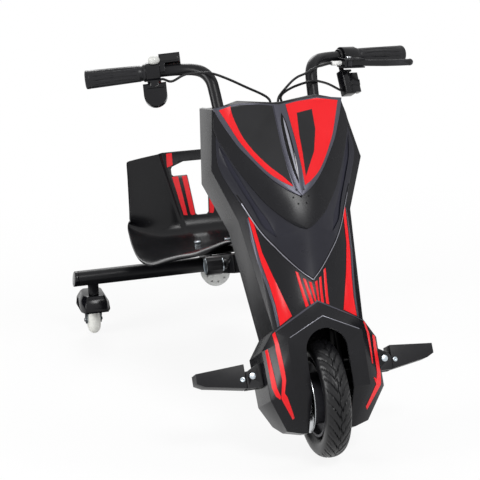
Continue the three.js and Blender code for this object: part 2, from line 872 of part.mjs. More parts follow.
// Display: a box on a saddle that grips the bar, inboard of the throttle
function displayGeometry() {
  const near = throttleFar + restGap;
  const low = barRadius + restGap;
  const half = displayDepth / 2;
  const body = box(at(near, -half, low), at(near + displayWidth, half, low + displayHeight));
  const saddle = box(at(near, -half, -saddleDrop), at(near + saddleWidth, half, low));
  return cut(join(body, saddle), barRoom(0, near + saddleWidth + overrun));
}
piece(rightHand, "display_unit", displayGeometry(), "coverBlack");

// Brake lever: a clamp with its housing ahead of the bar, and a lever on an upright pivot
const clampNear = gripLength + restGap;
const clampFar = clampNear + leverClampWidth;
const houseEnd = clampFar + leverHouseLength / 2;
const pivotSpot = (z) => at(-clampFar, -leverForward, z - leverDrop);
function leverHousingGeometry() {
  const deep = leverHouseDepth / 2;
  const high = leverHouseHeight / 2;
  const slot = leverHeight / 2 + restGap;
  const ring = rod(leverClampRadius, at(-clampFar, 0, 0), at(-clampNear, 0, 0));
  const arm = box(at(-houseEnd, -leverForward - deep, -leverDrop - high),
    at(-clampNear, -leverForward + deep, -leverDrop + high));
  const mouth = box(at(-clampFar - leverMouth, -far, -leverDrop - slot),
    at(far, -leverForward + deep - leverWall, -leverDrop + slot));
  const bore = rod(leverPivotRadius + restGap, pivotSpot(-far), pivotSpot(far), smallSides);
  return cut(join(ring, arm), mouth, bore, barRoom(-clampFar - overrun, 0));
}

const leverShares = [[-0.01, 0], [0.15, -0.02], [0.33, -0.1], [0.55, -0.17], [0.8, -0.19], [1, -0.19]];
function leverGeometry() {
  const half = leverThickness / 2;
  const high = leverHeight / 2;
  const line = leverShares.map(([x, y]) => [x * leverReach, y * leverReach]);
  const ahead = line.map(([x, y]) => [x, y - half]);
  const behind = line.map(([x, y]) => [x, y + half]).reverse();
  const blade = plateXY([...ahead, ...behind], -high, high);
  const [tipX, tipY] = line[line.length - 1];
  const ball = new THREE.SphereGeometry(leverBall, smallSides, smallSides / 2)
    .translate(tipX, tipY, 0);
  const eye = rod(leverEye, at(0, 0, -high), at(0, 0, high));
  const bore = rod(leverPivotRadius + runGap, at(0, 0, -far), at(0, 0, far), smallSides);
  const spot = pivotSpot(0);
  return cut(join(blade, ball, eye), bore).translate(spot.x, spot.y, spot.z);
}

function leverPivotGeometry() {
  const high = leverHouseHeight / 2;
  const top = high + restGap + leverPivotHeadHeight;
  const shaft = rod(leverPivotRadius, pivotSpot(-high), pivotSpot(top), smallSides);
  const head = rod(leverPivotHead, pivotSpot(high + restGap), pivotSpot(top), smallSides);
  return join(shaft, head);
}

// Barrel adjuster on the housing's inner end, where the brake cable starts
const adjusterStart = houseEnd + restGap;
const adjusterSpot = (reach) => at(-adjusterStart - reach, -leverForward, -leverDrop);
piece(leverHand, "brake_bracket", leverHousingGeometry(), "coverBlack");
piece(leverHand, "brake_lever", leverGeometry(), "coverBlack");
piece(leverHand, "lever_pivot", leverPivotGeometry(), "steel");
piece(leverHand, "barrel_adjuster",
  rod(adjusterRadius, adjusterSpot(0), adjusterSpot(adjusterLength), smallSides), "whitePlastic");

// Pod under the bar: a strap round the bar, a neck and a body with a sprung plate in its notch
const strapNear = clampFar + restGap;
const strapFar = strapNear + podStrapWidth;
const podLow = podDrop + podHeight;
const podPinPlace = -podInset - podNotch / 2;
function podBodyGeometry() {
  const half = podDepth / 2;
  const strap = rod(podStrapRadius, at(-strapFar, 0, 0), at(-strapNear, 0, 0));
  const neck = box(at(-strapFar, -podNeckHalf, -podDrop - podFlange),
    at(-strapNear, podNeckHalf, 0));
  const body = box(at(-podInset - podWidth, -half, -podLow), at(-podInset, half, -podDrop));
  const notch = box(at(-podInset - podNotch, -far, -podLow + podFlange),
    at(far, far, -podDrop - podFlange));
  const pin = rod(podPin, at(podPinPlace, 0, -podLow + restGap),
    at(podPinPlace, 0, -podDrop - restGap), smallSides);
  return cut(join(cut(join(strap, neck, body), notch), pin), barRoom(-far, 0));
}

function podPlateGeometry() {
  const low = -podLow + podFlange + runGap;
  const high = -podDrop - podFlange - runGap;
  const half = podPlateThickness / 2;
  const end = podPinPlace + podPlateReach;
  const eye = rod(podNotch / 2 - runGap, at(podPinPlace, 0, low), at(podPinPlace, 0, high));
  const plate = box(at(podPinPlace, -half, low), at(end, half, high));
  const hook = box(at(end - podPlateThickness, -half, low), at(end, half + podHook, high));
  const bore = rod(podPin + runGap, at(podPinPlace, 0, -far), at(podPinPlace, 0, far), smallSides);
  return cut(join(eye, plate, hook), bore);
}
piece(leftHand, "pod_body", podBodyGeometry(), "coverBlack");
piece(leftHand, "pod_plate", podPlateGeometry(), "coverBlack");

// Cables, each along its own hand-chosen route from the controls down inside the shield
function cableGeometry(points) {
  const curve = new THREE.CatmullRomCurve3(points, false, "centripetal");
  return swept(curve.getPoints(points.length * cableSteps), cableRadius, cordSides);
}
// The first two points of a cable, straight out of the piece it comes from
const outlet = (holder, x, y, z) => [restGap, restGap + cableGap].map((reach) =>
  at(x + reach * Math.sign(x), y, z).applyMatrix4(holder.matrix));
const throttleOutlet = outlet(rightHand, throttleFar, 0, cableGap - lugDrop);
const adjusterEnd = adjusterSpot(adjusterLength);
const brakeOutlet = outlet(leverHand, adjusterEnd.x, adjusterEnd.y, adjusterEnd.z);
const podOutlet = outlet(leftHand, -podInset - podWidth, 0, podNotch - podLow);
const controllerTop = crownTop + restGap + controllerHeight;
const controllerMiddle = -collarRadius - controllerGap - controllerDepth / 2;
const innerLane = -steererRadius - clampWall - cableRadius - cableGap;
const trayLane = -trayReach - cableRadius - cableGap;
const caliperTop = caliperPlace + caliperHeight;
const caliperLane = -(legInner + tyreWidth / 2) / 2;

// Route points as shares of the bar's upright: its half width, its place back and its height
const route = (shares) => shares.map(([x, y, z]) => at(x * barSide, y * barBack, z * barBendHeight));
const laneShares = [0.77, 0.69, 0.55];
const throttleSideShare = -0.13;
const brakeSideShare = 0.01;
const podSideShare = 0.16;
const innerRun = (share) => laneShares.map((z) => at(share * barSide, innerLane, z * barBendHeight));
function controllerRun(share) {
  const x = share * barSide;
  return [...innerRun(share), at(x, innerLane, headTubeMiddle),
    at(x, controllerMiddle, controllerTop + restGap)];
}
const throttleRouteShares = [
  [-1.69, 2.29, 0.994], [-1.48, 1.59, 1], [-1.31, 1.14, 0.996], [-1.06, 0.44, 0.981],
  [-0.755, 0.38, 0.959], [-0.4, 0.51, 0.93], [0.06, 0.83, 0.892], [0.02, 0.63, 0.8625],
  [-0.08, 0, 0.82],
];
const brakeRouteShares = [
  [1.245, 1.14, 0.986], [1.12, 0.7, 0.977], [0.994, 0.44, 0.967], [0.857, 0.41, 0.956],
  [0.62, 0.45, 0.944], [0.367, 0.45, 0.913], [0.235, 0.73, 0.892], [0.163, 0.44, 0.856],
  [0.04, -0.19, 0.8125],
];
const podRouteShares = [
  [1.41, 1.71, 0.935], [1.1, 0.7, 0.931], [0.98, 0.43, 0.93], [0.765, 0.44, 0.926],
  [0.48, 0.82, 0.917], [0.3, 0.92, 0.898], [0.3, 0.63, 0.8625], [0.245, -0.13, 0.816],
];
piece(front, "throttle_cable", cableGeometry([
  ...throttleOutlet, ...route(throttleRouteShares), ...controllerRun(throttleSideShare),
]), "rubber");
piece(front, "brake_cable", cableGeometry([
  ...brakeOutlet, ...route(brakeRouteShares), ...innerRun(brakeSideShare),
  at(0, (innerLane + trayLane) / 2, headTubeMiddle),
  at(caliperLane / 2, trayLane, headTubeLow),
  at(caliperLane, trayLane, (headTubeLow + crownTop) / 2),
  at(caliperLane, trayLane, crownLow),
  at(caliperLane, -caliperLength, (crownLow + caliperTop) / 2),
  at(caliperLane, -caliperLength / 4, caliperTop + cableGap * 2),
  at(caliperLane, -caliperLength / 4, caliperTop + restGap),
]), "rubber");
piece(front, "pod_cable", cableGeometry([
  ...podOutlet, ...route(podRouteShares), ...controllerRun(podSideShare),
]), "rubber");

// Foot pegs, each folding on an upright-faced clevis outside the shield
const clevisEnd = clevisOuter - pegPivotSide;
const clevisStart = pegPivotSide - clevisInner;
function clevisGeometry(side) {
  const arc = Array.from({ length: smallSides + 1 }, (_, k) => {
    const turn = (pegFold * k) / smallSides;
    return [side * clevisEnd * Math.cos(turn), clevisEnd * Math.sin(turn)];
  });
  const run = (clevisHalfHeight - clevisEnd * Math.sin(pegFold)) / Math.cos(pegFold);
  const shoulder = clevisEnd * Math.cos(pegFold) - run * Math.sin(pegFold);
  const outline = [
    [-side * clevisStart, -clevisHalfHeight], [side * clevisEnd, -clevisHalfHeight], ...arc,
    [side * shoulder, clevisHalfHeight], [-side * clevisStart, clevisHalfHeight],
  ];
  const body = plateXZ(outline, -clevisHalfDepth, clevisHalfDepth);
  const mouth = [-side * (clevisStart - clevisWeb), side * far];
  const gap = tongueThickness / 2 + runGap;
  const room = box(at(Math.min(...mouth), -gap, -far), at(Math.max(...mouth), gap, far));
  const bore = rod(pegBoltRadius + restGap, at(0, -far, 0), at(0, far, 0), smallSides);
  const recess = rod(pegBoltHead + restGap, at(0, -far, 0),
    at(0, -clevisHalfDepth + pegBoltHeadHeight, 0), smallSides);
  return cut(body, room, bore, recess);
}

function pegGeometry(side) {
  const near = side * (clevisEnd + pegClearance);
  const end = side * (clevisEnd + pegClearance + pegLength);
  const outline = [
    [near, -pegLowInner], [end - side * pegToe, -pegLowOuter], [end, 0],
    [end, pegTopOuter], [near, pegTopInner],
  ];
  const thick = tongueThickness / 2;
  const plate = plateXZ(outline, -pegDepth / 2, pegDepth / 2);
  const eye = rod(tongueRadius, at(0, -thick, 0), at(0, thick, 0));
  const tongue = box(at(Math.min(0, near + side * tongueThickness), -thick, -tongueRadius),
    at(Math.max(0, near + side * tongueThickness), thick, tongueRadius));
  const swept = plate.applyMatrix4(new THREE.Matrix4()
    .makeShear(side * Math.tan(pegSweep), 0, 0, 0, 0, 0));
  const bore = rod(pegBoltRadius + runGap, at(0, -far, 0), at(0, far, 0), smallSides);
  return cut(join(swept, eye, tongue), bore);
}

function pegBoltGeometry() {
  const face = -clevisHalfDepth + pegBoltHeadHeight - restGap;
  const head = rod(pegBoltHead, at(0, -clevisHalfDepth, 0), at(0, face, 0), smallSides);
  const shaft = rod(pegBoltRadius, at(0, -clevisHalfDepth, 0), at(0, clevisHalfDepth, 0),
    smallSides);
  return join(head, shaft);
}
for (const [name, side] of [["right", -1], ["left", 1]]) {
  const holder = group("peg_mount_" + name, front);
  holder.position.set(side * pegPivotSide, 0, stubHeight);
  piece(holder, "peg_clevis_" + name, clevisGeometry(side), "coverBlack");
  piece(holder, "peg_" + name, pegGeometry(side), "coverBlack");
  piece(holder, "peg_bolt_" + name, pegBoltGeometry(), "zinc");
}

// A point of the steering axis, and the beam's frame: from the cross tube, -Y runs up to the head
const crossTubePlace = wheelbase - casterTrail;
const steerPoint = (s) =>
  at(0, s * Math.sin(rakeAngle), wheelRadius + s * Math.cos(rakeAngle));
const neck = steerPoint(headTubeMiddle);
const beamSlope = Math.atan2(neck.z - crossTubeHeight, crossTubePlace - neck.y);
const beam = group("beam", trike);
beam.position.set(0, crossTubePlace, crossTubeHeight);
beam.rotation.x = -beamSlope;
beam.updateMatrix();
const onBeam = (s) => steerPoint(s).applyMatrix4(beam.matrix.clone().invert());

// A square tube along Y
function squareTube(half, wall, fromY, toY) {
  const inner = half - wall;
  return cut(box(at(-half, fromY, -half), at(half, toY, half)),
    box(at(-inner, fromY - overrun, -inner), at(inner, toY + overrun, inner)));
}

// A flat outline of [y, z] points, given thickness along X
function plateYZ(outline, fromX, toX) {
  const cycle = new THREE.Matrix4().makeBasis(at(0, 1, 0), at(0, 0, 1), at(1, 0, 0));
  return plateXY(outline, fromX, toX).applyMatrix4(cycle);
}

// Rear tube: the sleeve the front beam slides in, with a threaded boss for the clamp knob
const sleeveHalf = sleeveWidth / 2;
const bossSide = sleeveHalf + bossLength;
function rearTubeGeometry() {
  const sleeve = squareTube(sleeveHalf, sleeveWall, -sleeveLength, 0);
  const boss = rod(bossRadius, at(-bossSide, -knobPlace, 0),
    at(sleeveWall - sleeveHalf, -knobPlace, 0));
  const cope = rod(crossTubeRadius + restGap, at(-far, 0, 0), at(far, 0, 0), fineSides);
  const bore = rod(studRadius + restGap, at(-far, -knobPlace, 0), at(0, -knobPlace, 0), smallSides);
  return cut(join(sleeve, boss), cope, bore);
}

// Front beam: the inner tube, the head tube welded to it and a gusset below
function frontBeamGeometry() {
  const half = sleeveHalf - sleeveWall - slideGap;
  const reach = Math.hypot(crossTubePlace - neck.y, neck.z - crossTubeHeight);
  const tube = squareTube(half, beamWall, -reach, beamInsert - sleeveLength);
  const head = rod(headTubeRadius, onBeam(headTubeLow), onBeam(headTubeTop), fineSides);
  const [middle, low] = [headTubeMiddle, headTubeMiddle - gussetDrop].map(onBeam);
  const gusset = plateYZ([
    [middle.y, middle.z], [low.y, low.z], [gussetLength - reach, beamWall - half],
  ], -gussetThickness / 2, gussetThickness / 2);
  const bore = rod(headTubeBore, onBeam(headTubeLow - overrun), onBeam(headTubeTop + overrun));
  return cut(join(tube, head, gusset), bore);
}

// Clamp knob: a ribbed head, a bright ring and the stud that presses on the front beam
function knobGeometry() {
  const ringFrom = -bossSide - restGap;
  const headFrom = ringFrom - ringLength;
  const outline = Array.from({ length: knobRibs * 2 }, (_, k) => {
    const turn = (Math.PI * k) / knobRibs;
    const r = k % 2 ? knobRadius - knobRibDepth : knobRadius;
    return [r * Math.cos(turn), r * Math.sin(turn)];
  });
  const head = plateYZ(outline, headFrom - knobLength, headFrom);
  const ring = rod(ringRadius, at(headFrom - overrun, 0, 0), at(ringFrom, 0, 0));
  const tip = sleeveWall + slideGap - restGap - sleeveHalf;
  const stud = rod(studRadius, at(headFrom - overrun, 0, 0), at(tip, 0, 0), smallSides);
  return join(head, ring, stud).translate(0, -knobPlace, 0);
}
piece(beam, "rear_tube", rearTubeGeometry(), "framePaint");
piece(beam, "front_beam", frontBeamGeometry(), "framePaint");
piece(beam, "clamp_knob", knobGeometry(), "coverBlack");
piece(front, "headset_lower", cupGeometry(cupLow), "steel");
piece(front, "headset_upper", cupGeometry(headTubeTop + restGap), "steel");

// Cross tube with a caster socket at each end, and its slanted end caps
const tubeEnd = crossTubeHalfLength - capThickness;
const casterHalfTrack = crossTubeHalfLength - casterInset;
const casterPinTop = crossTubeHeight - pinTopDrop;
function crossTubeGeometry() {
  const tube = rod(crossTubeRadius, at(-tubeEnd, 0, 0), at(tubeEnd, 0, 0), fineSides);
  const bore = rod(crossTubeRadius - crossTubeWall, at(-far, 0, 0), at(far, 0, 0), fineSides);
  const spot = (side, z) => at(side * casterHalfTrack, 0, z - crossTubeHeight);
  const socket = (side) => rod(socketRadius, spot(side, hoodTop + socketGap), spot(side, crossTubeHeight));
  const pin = (side) => rod(socketBore, spot(side, -far), spot(side, casterPinTop + pinTopGap));
  return cut(join(tube, socket(-1), socket(1)), bore, pin(-1), pin(1));
}

function endCapGeometry(side) {
  const x = (reach) => at(side * reach, 0, 0);
  const lid = rod(crossTubeRadius, x(tubeEnd + restGap), x(crossTubeHalfLength + overrun), fineSides);
  const plug = rod(crossTubeRadius - crossTubeWall - restGap, x(tubeEnd - capPlug),
    x(tubeEnd + capThickness / 2), fineSides);
  const outside = box(at(0, -far, -far), at(far, far, far)).rotateY(capSlant)
    .translate(crossTubeHalfLength, 0, 0);
  return cut(join(lid, plug), side < 0 ? outside.rotateZ(Math.PI) : outside);
}
const rear = group("rear_axle", trike);
rear.position.set(0, crossTubePlace, crossTubeHeight);
piece(rear, "cross_tube", crossTubeGeometry(), "framePaint");
piece(rear, "end_cap_right", endCapGeometry(-1), "coverBlack");
piece(rear, "end_cap_left", endCapGeometry(1), "coverBlack");

// Horn on a strap behind the cross tube
function hornGeometry() {
  const back = crossTubeRadius + restGap;
  const half = hornStrapWidth / 2;
  const strap = box(at(hornSide - half, back, -hornStrapDrop),
    at(hornSide + half, back + hornStrapThickness, hornStrapRise));
  const from = back + hornStrapThickness;
  const disc = rod(hornRadius, at(hornSide, from, -hornDrop),
    at(hornSide, from + hornThickness - hornRim, -hornDrop), fineSides);
  const face = rod(hornRadius - hornRim, at(hornSide, from, -hornDrop),
    at(hornSide, from + hornThickness, -hornDrop), fineSides);
  return join(strap, disc, face);
}
piece(rear, "horn", hornGeometry(), "hornShell");

// Seat bracket: a plate under the seat, with legs beside the sleeve that sit on the cross tube
const seatLow = crossTubeHeight + seatStand;
const seatUnder = seatLow - seatWall - restGap;
const boltPlace = crossTubePlace - seatBoltForward;
const seatBoltSide = seatBoltSpacing / 2;
const boltBore = (side) => rod(seatBoltRadius + restGap,
  at(side * seatBoltSide, boltPlace, 0), at(side * seatBoltSide, boltPlace, seatLow + overrun));
function seatBracketGeometry() {
  const back = crossTubePlace + bracketBack;
  const ahead = back - bracketLength;
  const plate = box(at(-bracketWidth / 2, ahead, seatUnder - bracketWall),
    at(bracketWidth / 2, back, seatUnder));
  const inner = sleeveHalf + restGap;
  const outer = inner + bracketWall;
  const low = seatUnder - bracketLegDrop;
  const right = box(at(-outer, ahead, low), at(-inner, back, seatUnder));
  const left = box(at(inner, ahead, low), at(outer, back, seatUnder));
  const tube = rod(crossTubeRadius + restGap, at(-far, crossTubePlace, crossTubeHeight),
    at(far, crossTubePlace, crossTubeHeight), fineSides);
  return cut(join(plate, right, left), tube, boltBore(-1), boltBore(1));
}

// Seat rows from its front lip to the top of its back, as shares of depth, height, half width,
// side rise, wing and hump
const seatRowShares = [
  [0, 0.09, 0.884, -0.25, 0, 1], [0.039, 0.115, 0.937, -0.35, 0, 0.95],
  [0.126, 0.09, 0.979, -0.25, 0, 0.5], [0.232, 0.055, 1, 0, 0, 0.12],
  [0.354, 0.027, 0.995, 0.3, 0, 0], [0.47, 0, 0.984, 0.55, 0, 0],
  [0.582, 0.003, 0.968, 0.78, 0.03, 0], [0.677, 0.016, 0.958, 0.92, 0.1, 0],
  [0.744, 0.055, 0.947, 0.93, 0.3, 0], [0.782, 0.104, 0.942, 0.8, 0.5, 0],
  [0.81, 0.18, 0.937, 0.55, 0.72, 0], [0.828, 0.268, 0.934, 0.3, 0.88, 0],
  [0.856, 0.4, 0.926, 0.12, 0.97, 0], [0.902, 0.59, 0.916, 0.03, 1, 0],
  [0.947, 0.765, 0.9, 0, 0.97, 0], [0.989, 0.94, 0.886, 0, 0.9, 0],
  [1, 1, 0.884, 0, 0.87, 0],
];
const seatAcrossShares = [0, 0.25, 0.42, 0.52, 0.62, 0.71, 0.8, 0.88, 0.95, 1];
const panFlatShare = 0.52;
const seatBoltShare = 0.5263;
const seatLipPlace = boltPlace - seatBoltShare * seatDepth;
const wingFlatShare = 0.45;
const panSweep = 1.6;
const wingSweep = 1.3;
const humpShare = 0.42;
function seatGrid() {
  const half = seatAcrossShares.slice(1);
  const across = [...half.map((u) => -u).reverse(), ...seatAcrossShares];
  const within = (u) => Math.max(1 - Math.abs(u) / humpShare, 0);
  const beyond = (u, flat) => Math.max((Math.abs(u) - flat) / (1 - flat), 0);
  return seatRowShares.map(([y, z, half, rise, wing, hump]) => across.map((u) => at(
    u * half * seatHalfWidth,
    seatLipPlace + y * seatDepth - wing * seatWing * beyond(u, wingFlatShare) ** wingSweep,
    seatLow + z * seatHeight + rise * seatRise * beyond(u, panFlatShare) ** panSweep
      + hump * seatHump * within(u),
  )));
}

// A closed shell from a grid of points, its wall behind them
function shellOf(grid, wall) {
  const row = (i) => grid[Math.min(Math.max(i, 0), grid.length - 1)];
  const behind = grid.map((points, i) => points.map((point, j) => {
    const across = points[Math.min(j + 1, points.length - 1)].clone()
      .sub(points[Math.max(j - 1, 0)]);
    const along = row(i + 1)[j].clone().sub(row(i - 1)[j]);
    return point.clone().addScaledVector(across.cross(along).normalize(), -wall);
  }));
  const sheet = (points) => points.slice(1).flatMap((next, i) => next.slice(1).flatMap((_, j) => [
    [points[i][j], points[i][j + 1], points[i + 1][j + 1]],
    [points[i][j], points[i + 1][j + 1], points[i + 1][j]],
  ]));
  const edge = (points) => [
    ...points[0], ...points.slice(1, -1).map((line) => line[line.length - 1]),
    ...[...points[points.length - 1]].reverse(), ...points.slice(1, -1).map((line) => line[0]).reverse(),
  ];
  const [near, deep] = [edge(grid), edge(behind)];
  const rim = near.flatMap((point, k) => {
    const n = (k + 1) % near.length;
    return [[point, deep[k], deep[n]], [point, deep[n], near[n]]];
  });
  return faceted([...sheet(grid), ...turnedOver(sheet(behind)), ...rim]);
}

function seatGeometry() {
  const top = seatLow + seatSlotRise;
  const low = top - seatSlotHeight;
  const end = top - seatSlotDip;
  const shoulder = seatSlotHalf - seatSlotShoulder;
  const opening = plateXZ([
    [-shoulder, top], [-seatSlotHalf, end], [-seatSlotHalf, low], [-neckTopHalf, low],
    [-neckLowHalf, seatLow + neckRise], [neckLowHalf, seatLow + neckRise], [neckTopHalf, low],
    [seatSlotHalf, low], [seatSlotHalf, end], [shoulder, top],
  ], -far, far);
  return cut(shellOf(seatGrid(), seatWall), opening, boltBore(-1), boltBore(1));
}

function seatBoltGeometry(side) {
  const spot = (z) => at(side * seatBoltSide, boltPlace, z);
  const face = seatLow + seatBoltHeadHeight / 4;
  const top = face + seatBoltHeadHeight;
  const head = rod(seatBoltHead, spot(face), spot(top), 6);
  const shaft = rod(seatBoltRadius, spot(seatUnder - bracketWall - seatBoltTail), spot(top));
  return join(head, shaft);
}
piece(trike, "seat_bracket", seatBracketGeometry(), "framePaint");
piece(trike, "seat_shell", seatGeometry(), "seatPlastic");
piece(trike, "seat_bolt_right", seatBoltGeometry(-1), "zinc");
piece(trike, "seat_bolt_left", seatBoltGeometry(1), "zinc");

// Casters: a hood and a fork on an upright pin, the wheel trailing on its axle
const casterPlateTop = hoodTop - hoodWall - restGap;
const casterSide = casterForkGap / 2 + casterForkWall;
function casterForkGeometry() {
  const low = casterPlateTop - casterForkWall;
  const plate = box(at(-casterSide, -casterPlateAhead, low),
    at(casterSide, casterPlateLength - casterPlateAhead, casterPlateTop));
  const outline = [
    [-casterPlateAhead, low + casterForkWall], [-casterPlateAhead, low],
    [casterTrail - casterEyeRadius, casterWheelRadius],
    [casterTrail + casterEyeRadius, casterWheelRadius],
    [casterLegTop, low], [casterLegTop, low + casterForkWall],
  ];
  const leg = (from) => join(plateYZ(outline, from, from + casterForkWall),
    rod(casterEyeRadius, at(from, casterTrail, casterWheelRadius),
      at(from + casterForkWall, casterTrail, casterWheelRadius)));
  const pin = rod(casterPinRadius, at(0, 0, low), at(0, 0, casterPinTop), smallSides);
  const bore = rod(casterAxleRadius + restGap, at(-far, casterTrail, casterWheelRadius),
    at(far, casterTrail, casterWheelRadius), smallSides);
  return cut(join(plate, leg(-casterSide), leg(casterForkGap / 2), pin), bore);
}

const hoodOutlineShares = [
  [1, -0.6], [1, 0.7], [0.7, 1], [-0.7, 1], [-1, 0.7], [-1, -0.6], [-0.77, -1], [0.77, -1],
];
const hoodRingShares = [[0, 1], [0.55, 0.94], [1, 0.7]];
function hoodBody(wall, low) {
  const rings = hoodRingShares.map(([z, scale]) => hoodOutlineShares.map(([x, y]) => at(
    x * scale * (hoodWidth / 2 - wall), hoodBack + y * scale * (hoodLength / 2 - wall),
    low + z * (hoodTop - wall - low),
  )));
  const [bottom, top] = [rings[0], rings[rings.length - 1]];
  const middle = (z) => at(0, hoodBack, z);
  return faceted([...skinOf(rings), ...endOf(top, null, middle(hoodTop - wall)),
    ...turnedOver(endOf(bottom, null, middle(low)))]);
}

function hoodGeometry() {
  const hole = rod(casterPinRadius + restGap, at(0, 0, hoodBottom), at(0, 0, hoodTop + overrun));
  return cut(hoodBody(0, hoodBottom), hoodBody(hoodWall, hoodBottom - hoodWall), hole);
}

function casterWheelGeometry() {
  const half = casterWheelWidth / 2;
  const bore = casterAxleRadius + runGap;
  const shoulder = casterWheelRadius - casterBevel;
  return turnedX([
    [bore, -half], [shoulder, -half], [casterWheelRadius, casterBevel - half],
    [casterWheelRadius, half - casterBevel], [shoulder, half], [bore, half], [bore, -half],
  ]).translate(0, casterTrail, casterWheelRadius);
}

function casterAxleGeometry() {
  const end = casterSide + casterAxleEnd;
  return rod(casterAxleRadius, at(-end, casterTrail, casterWheelRadius),
    at(end, casterTrail, casterWheelRadius), smallSides);
}
for (const [name, side] of [["right", -1], ["left", 1]]) {
  const holder = group("caster_" + name, trike);
  holder.position.set(side * casterHalfTrack, crossTubePlace, 0);
  piece(holder, "caster_fork_" + name, casterForkGeometry(), "zinc");
  piece(holder, "caster_hood_" + name, hoodGeometry(), "coverBlack");
  piece(holder, "caster_wheel_" + name, casterWheelGeometry(), "whiteWheel");
  piece(holder, "caster_axle_" + name, casterAxleGeometry(), "steel");
}

// The whole trike stands on the floor, centred on the origin
trike.updateMatrixWorld(true);
const bounds = new THREE.Box3().setFromObject(trike, true);
const middle = bounds.getCenter(at(0, 0, 0));
trike.position.set(-middle.x, -middle.y, -bounds.min.z);

export default trike;
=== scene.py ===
import json
import math

import bmesh
import bpy
from mathutils import Matrix, Vector


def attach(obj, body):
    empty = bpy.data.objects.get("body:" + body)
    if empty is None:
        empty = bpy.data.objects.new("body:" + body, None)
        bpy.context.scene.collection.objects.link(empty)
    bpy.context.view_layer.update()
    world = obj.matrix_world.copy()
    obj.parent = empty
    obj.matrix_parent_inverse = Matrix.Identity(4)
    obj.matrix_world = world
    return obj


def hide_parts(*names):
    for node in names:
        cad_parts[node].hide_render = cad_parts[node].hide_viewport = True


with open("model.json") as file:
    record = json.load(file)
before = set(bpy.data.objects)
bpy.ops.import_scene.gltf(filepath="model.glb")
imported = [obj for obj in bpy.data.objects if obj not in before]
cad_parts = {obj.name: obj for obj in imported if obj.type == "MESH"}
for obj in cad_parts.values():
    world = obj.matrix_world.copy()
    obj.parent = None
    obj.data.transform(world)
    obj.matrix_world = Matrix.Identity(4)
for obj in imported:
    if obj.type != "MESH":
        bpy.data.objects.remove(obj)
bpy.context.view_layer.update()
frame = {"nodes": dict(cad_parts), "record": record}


# The camera stands off the rider's right front, 2.6 m from the trike and 0.7 m above its middle,
# rolled by two degrees.
eye = Vector((-0.7788, -2.7752, 1.1216))
aim = Vector((-0.1397, -0.3933, 0.4146))
bpy.ops.object.camera_add(location=eye)
camera = bpy.context.object
camera.data.lens = 112.5
camera.data.sensor_width = 36
ahead = (aim - eye).normalized()
upright = Vector((0.1071, 0.2568, 0.961))
right = ahead.cross(upright).normalized()
upright = right.cross(ahead)
camera.matrix_world = Matrix.Translation(eye) @ Matrix((right, upright, -ahead)).transposed().to_4x4()
bpy.context.scene.camera = camera


# A white studio: a paper floor that keeps a faint shadow, four soft boxes on stands, and black
# cards that give the black plastics something dark to mirror.
def linear(code):
    """An sRGB hex colour as linear RGBA."""
    parts = [int(code[i:i + 2], 16) / 255 for i in (1, 3, 5)]
    return [c / 12.92 if c <= 0.04045 else ((c + 0.055) / 1.055) ** 2.4 for c in parts] + [1.0]


def put(tree, kind, inputs=None, **settings):
    """Adds a node to a tree, sets it up and links or fills its inputs."""
    node = tree.nodes.new(kind)
    for key, value in settings.items():
        setattr(node, key, value)
    for key, value in (inputs or {}).items():
        if isinstance(value, bpy.types.NodeSocket):
            tree.links.new(value, node.inputs[key])
        else:
            node.inputs[key].default_value = value
    return node


def seen_share(tree):
    """1 for rays that the eye sees, straight, mirrored or through glass, and 0 for the rest."""
    path = put(tree, "ShaderNodeLightPath")
    through = put(tree, "ShaderNodeMath", {0: path.outputs["Is Glossy Ray"],
                  1: path.outputs["Is Transmission Ray"]}, operation="MAXIMUM")
    return put(tree, "ShaderNodeMath", {0: path.outputs["Is Camera Ray"], 1: through.outputs[0]},
               operation="MAXIMUM").outputs[0]


white = linear("#ffffff")
world = bpy.data.worlds.new("studio")
bpy.context.scene.world = world
world.use_nodes = True
world.node_tree.nodes.clear()
# The room looks white, and lights the trike less than half as much as it looks.
room_light = 0.45
level = put(world.node_tree, "ShaderNodeMix", {0: seen_share(world.node_tree), 2: room_light, 3: 1.0},
            data_type="FLOAT")
background = put(world.node_tree, "ShaderNodeBackground",
                 {"Color": white, "Strength": level.outputs[0]})
put(world.node_tree, "ShaderNodeOutputWorld", {"Surface": background.outputs[0]})

bpy.ops.object.select_all(action="DESELECT")
bpy.ops.mesh.primitive_plane_add(size=14, location=(0, 0, -0.0005))
floor = bpy.context.object
floor.name = "studio_floor"
# Paper that glows white to the eye: near the trike it lets through a little of its real shading.
paper = bpy.data.materials.new("white_paper_sweep")
paper.use_nodes = True
nodes = paper.node_tree
nodes.nodes.clear()
plain = put(nodes, "ShaderNodeBsdfDiffuse", {"Color": linear("#f4f4f4")})
glow = put(nodes, "ShaderNodeEmission", {"Color": white, "Strength": 1.0})
spot = put(nodes, "ShaderNodeTexCoord")
span = put(nodes, "ShaderNodeVectorMath", {0: spot.outputs["Object"]}, operation="LENGTH")
fade_from, fade_to, least_glow = 0.8, 1.7, 0.86
fade = put(nodes, "ShaderNodeMapRange", {"Value": span.outputs["Value"], 1: fade_from, 2: fade_to,
           3: least_glow, 4: 1.0})
show = put(nodes, "ShaderNodeMath", {0: seen_share(nodes), 1: fade.outputs[0]}, operation="MULTIPLY")
blend = put(nodes, "ShaderNodeMixShader", {0: show.outputs[0], 1: plain.outputs[0], 2: glow.outputs[0]})
put(nodes, "ShaderNodeOutputMaterial", {"Surface": blend.outputs[0]})
floor.data.materials.append(paper)


middle = (0, -0.2, 0.35)


def lamp(name, place, power, size):
    """A square soft box that faces the trike's middle."""
    bpy.ops.object.light_add(type="AREA", location=place)
    box = bpy.context.object
    box.name = name
    box.data.energy = power
    box.data.size = size
    box.rotation_euler = (Vector(middle) - Vector(place)).to_track_quat("-Z", "Y").to_euler()
    return box


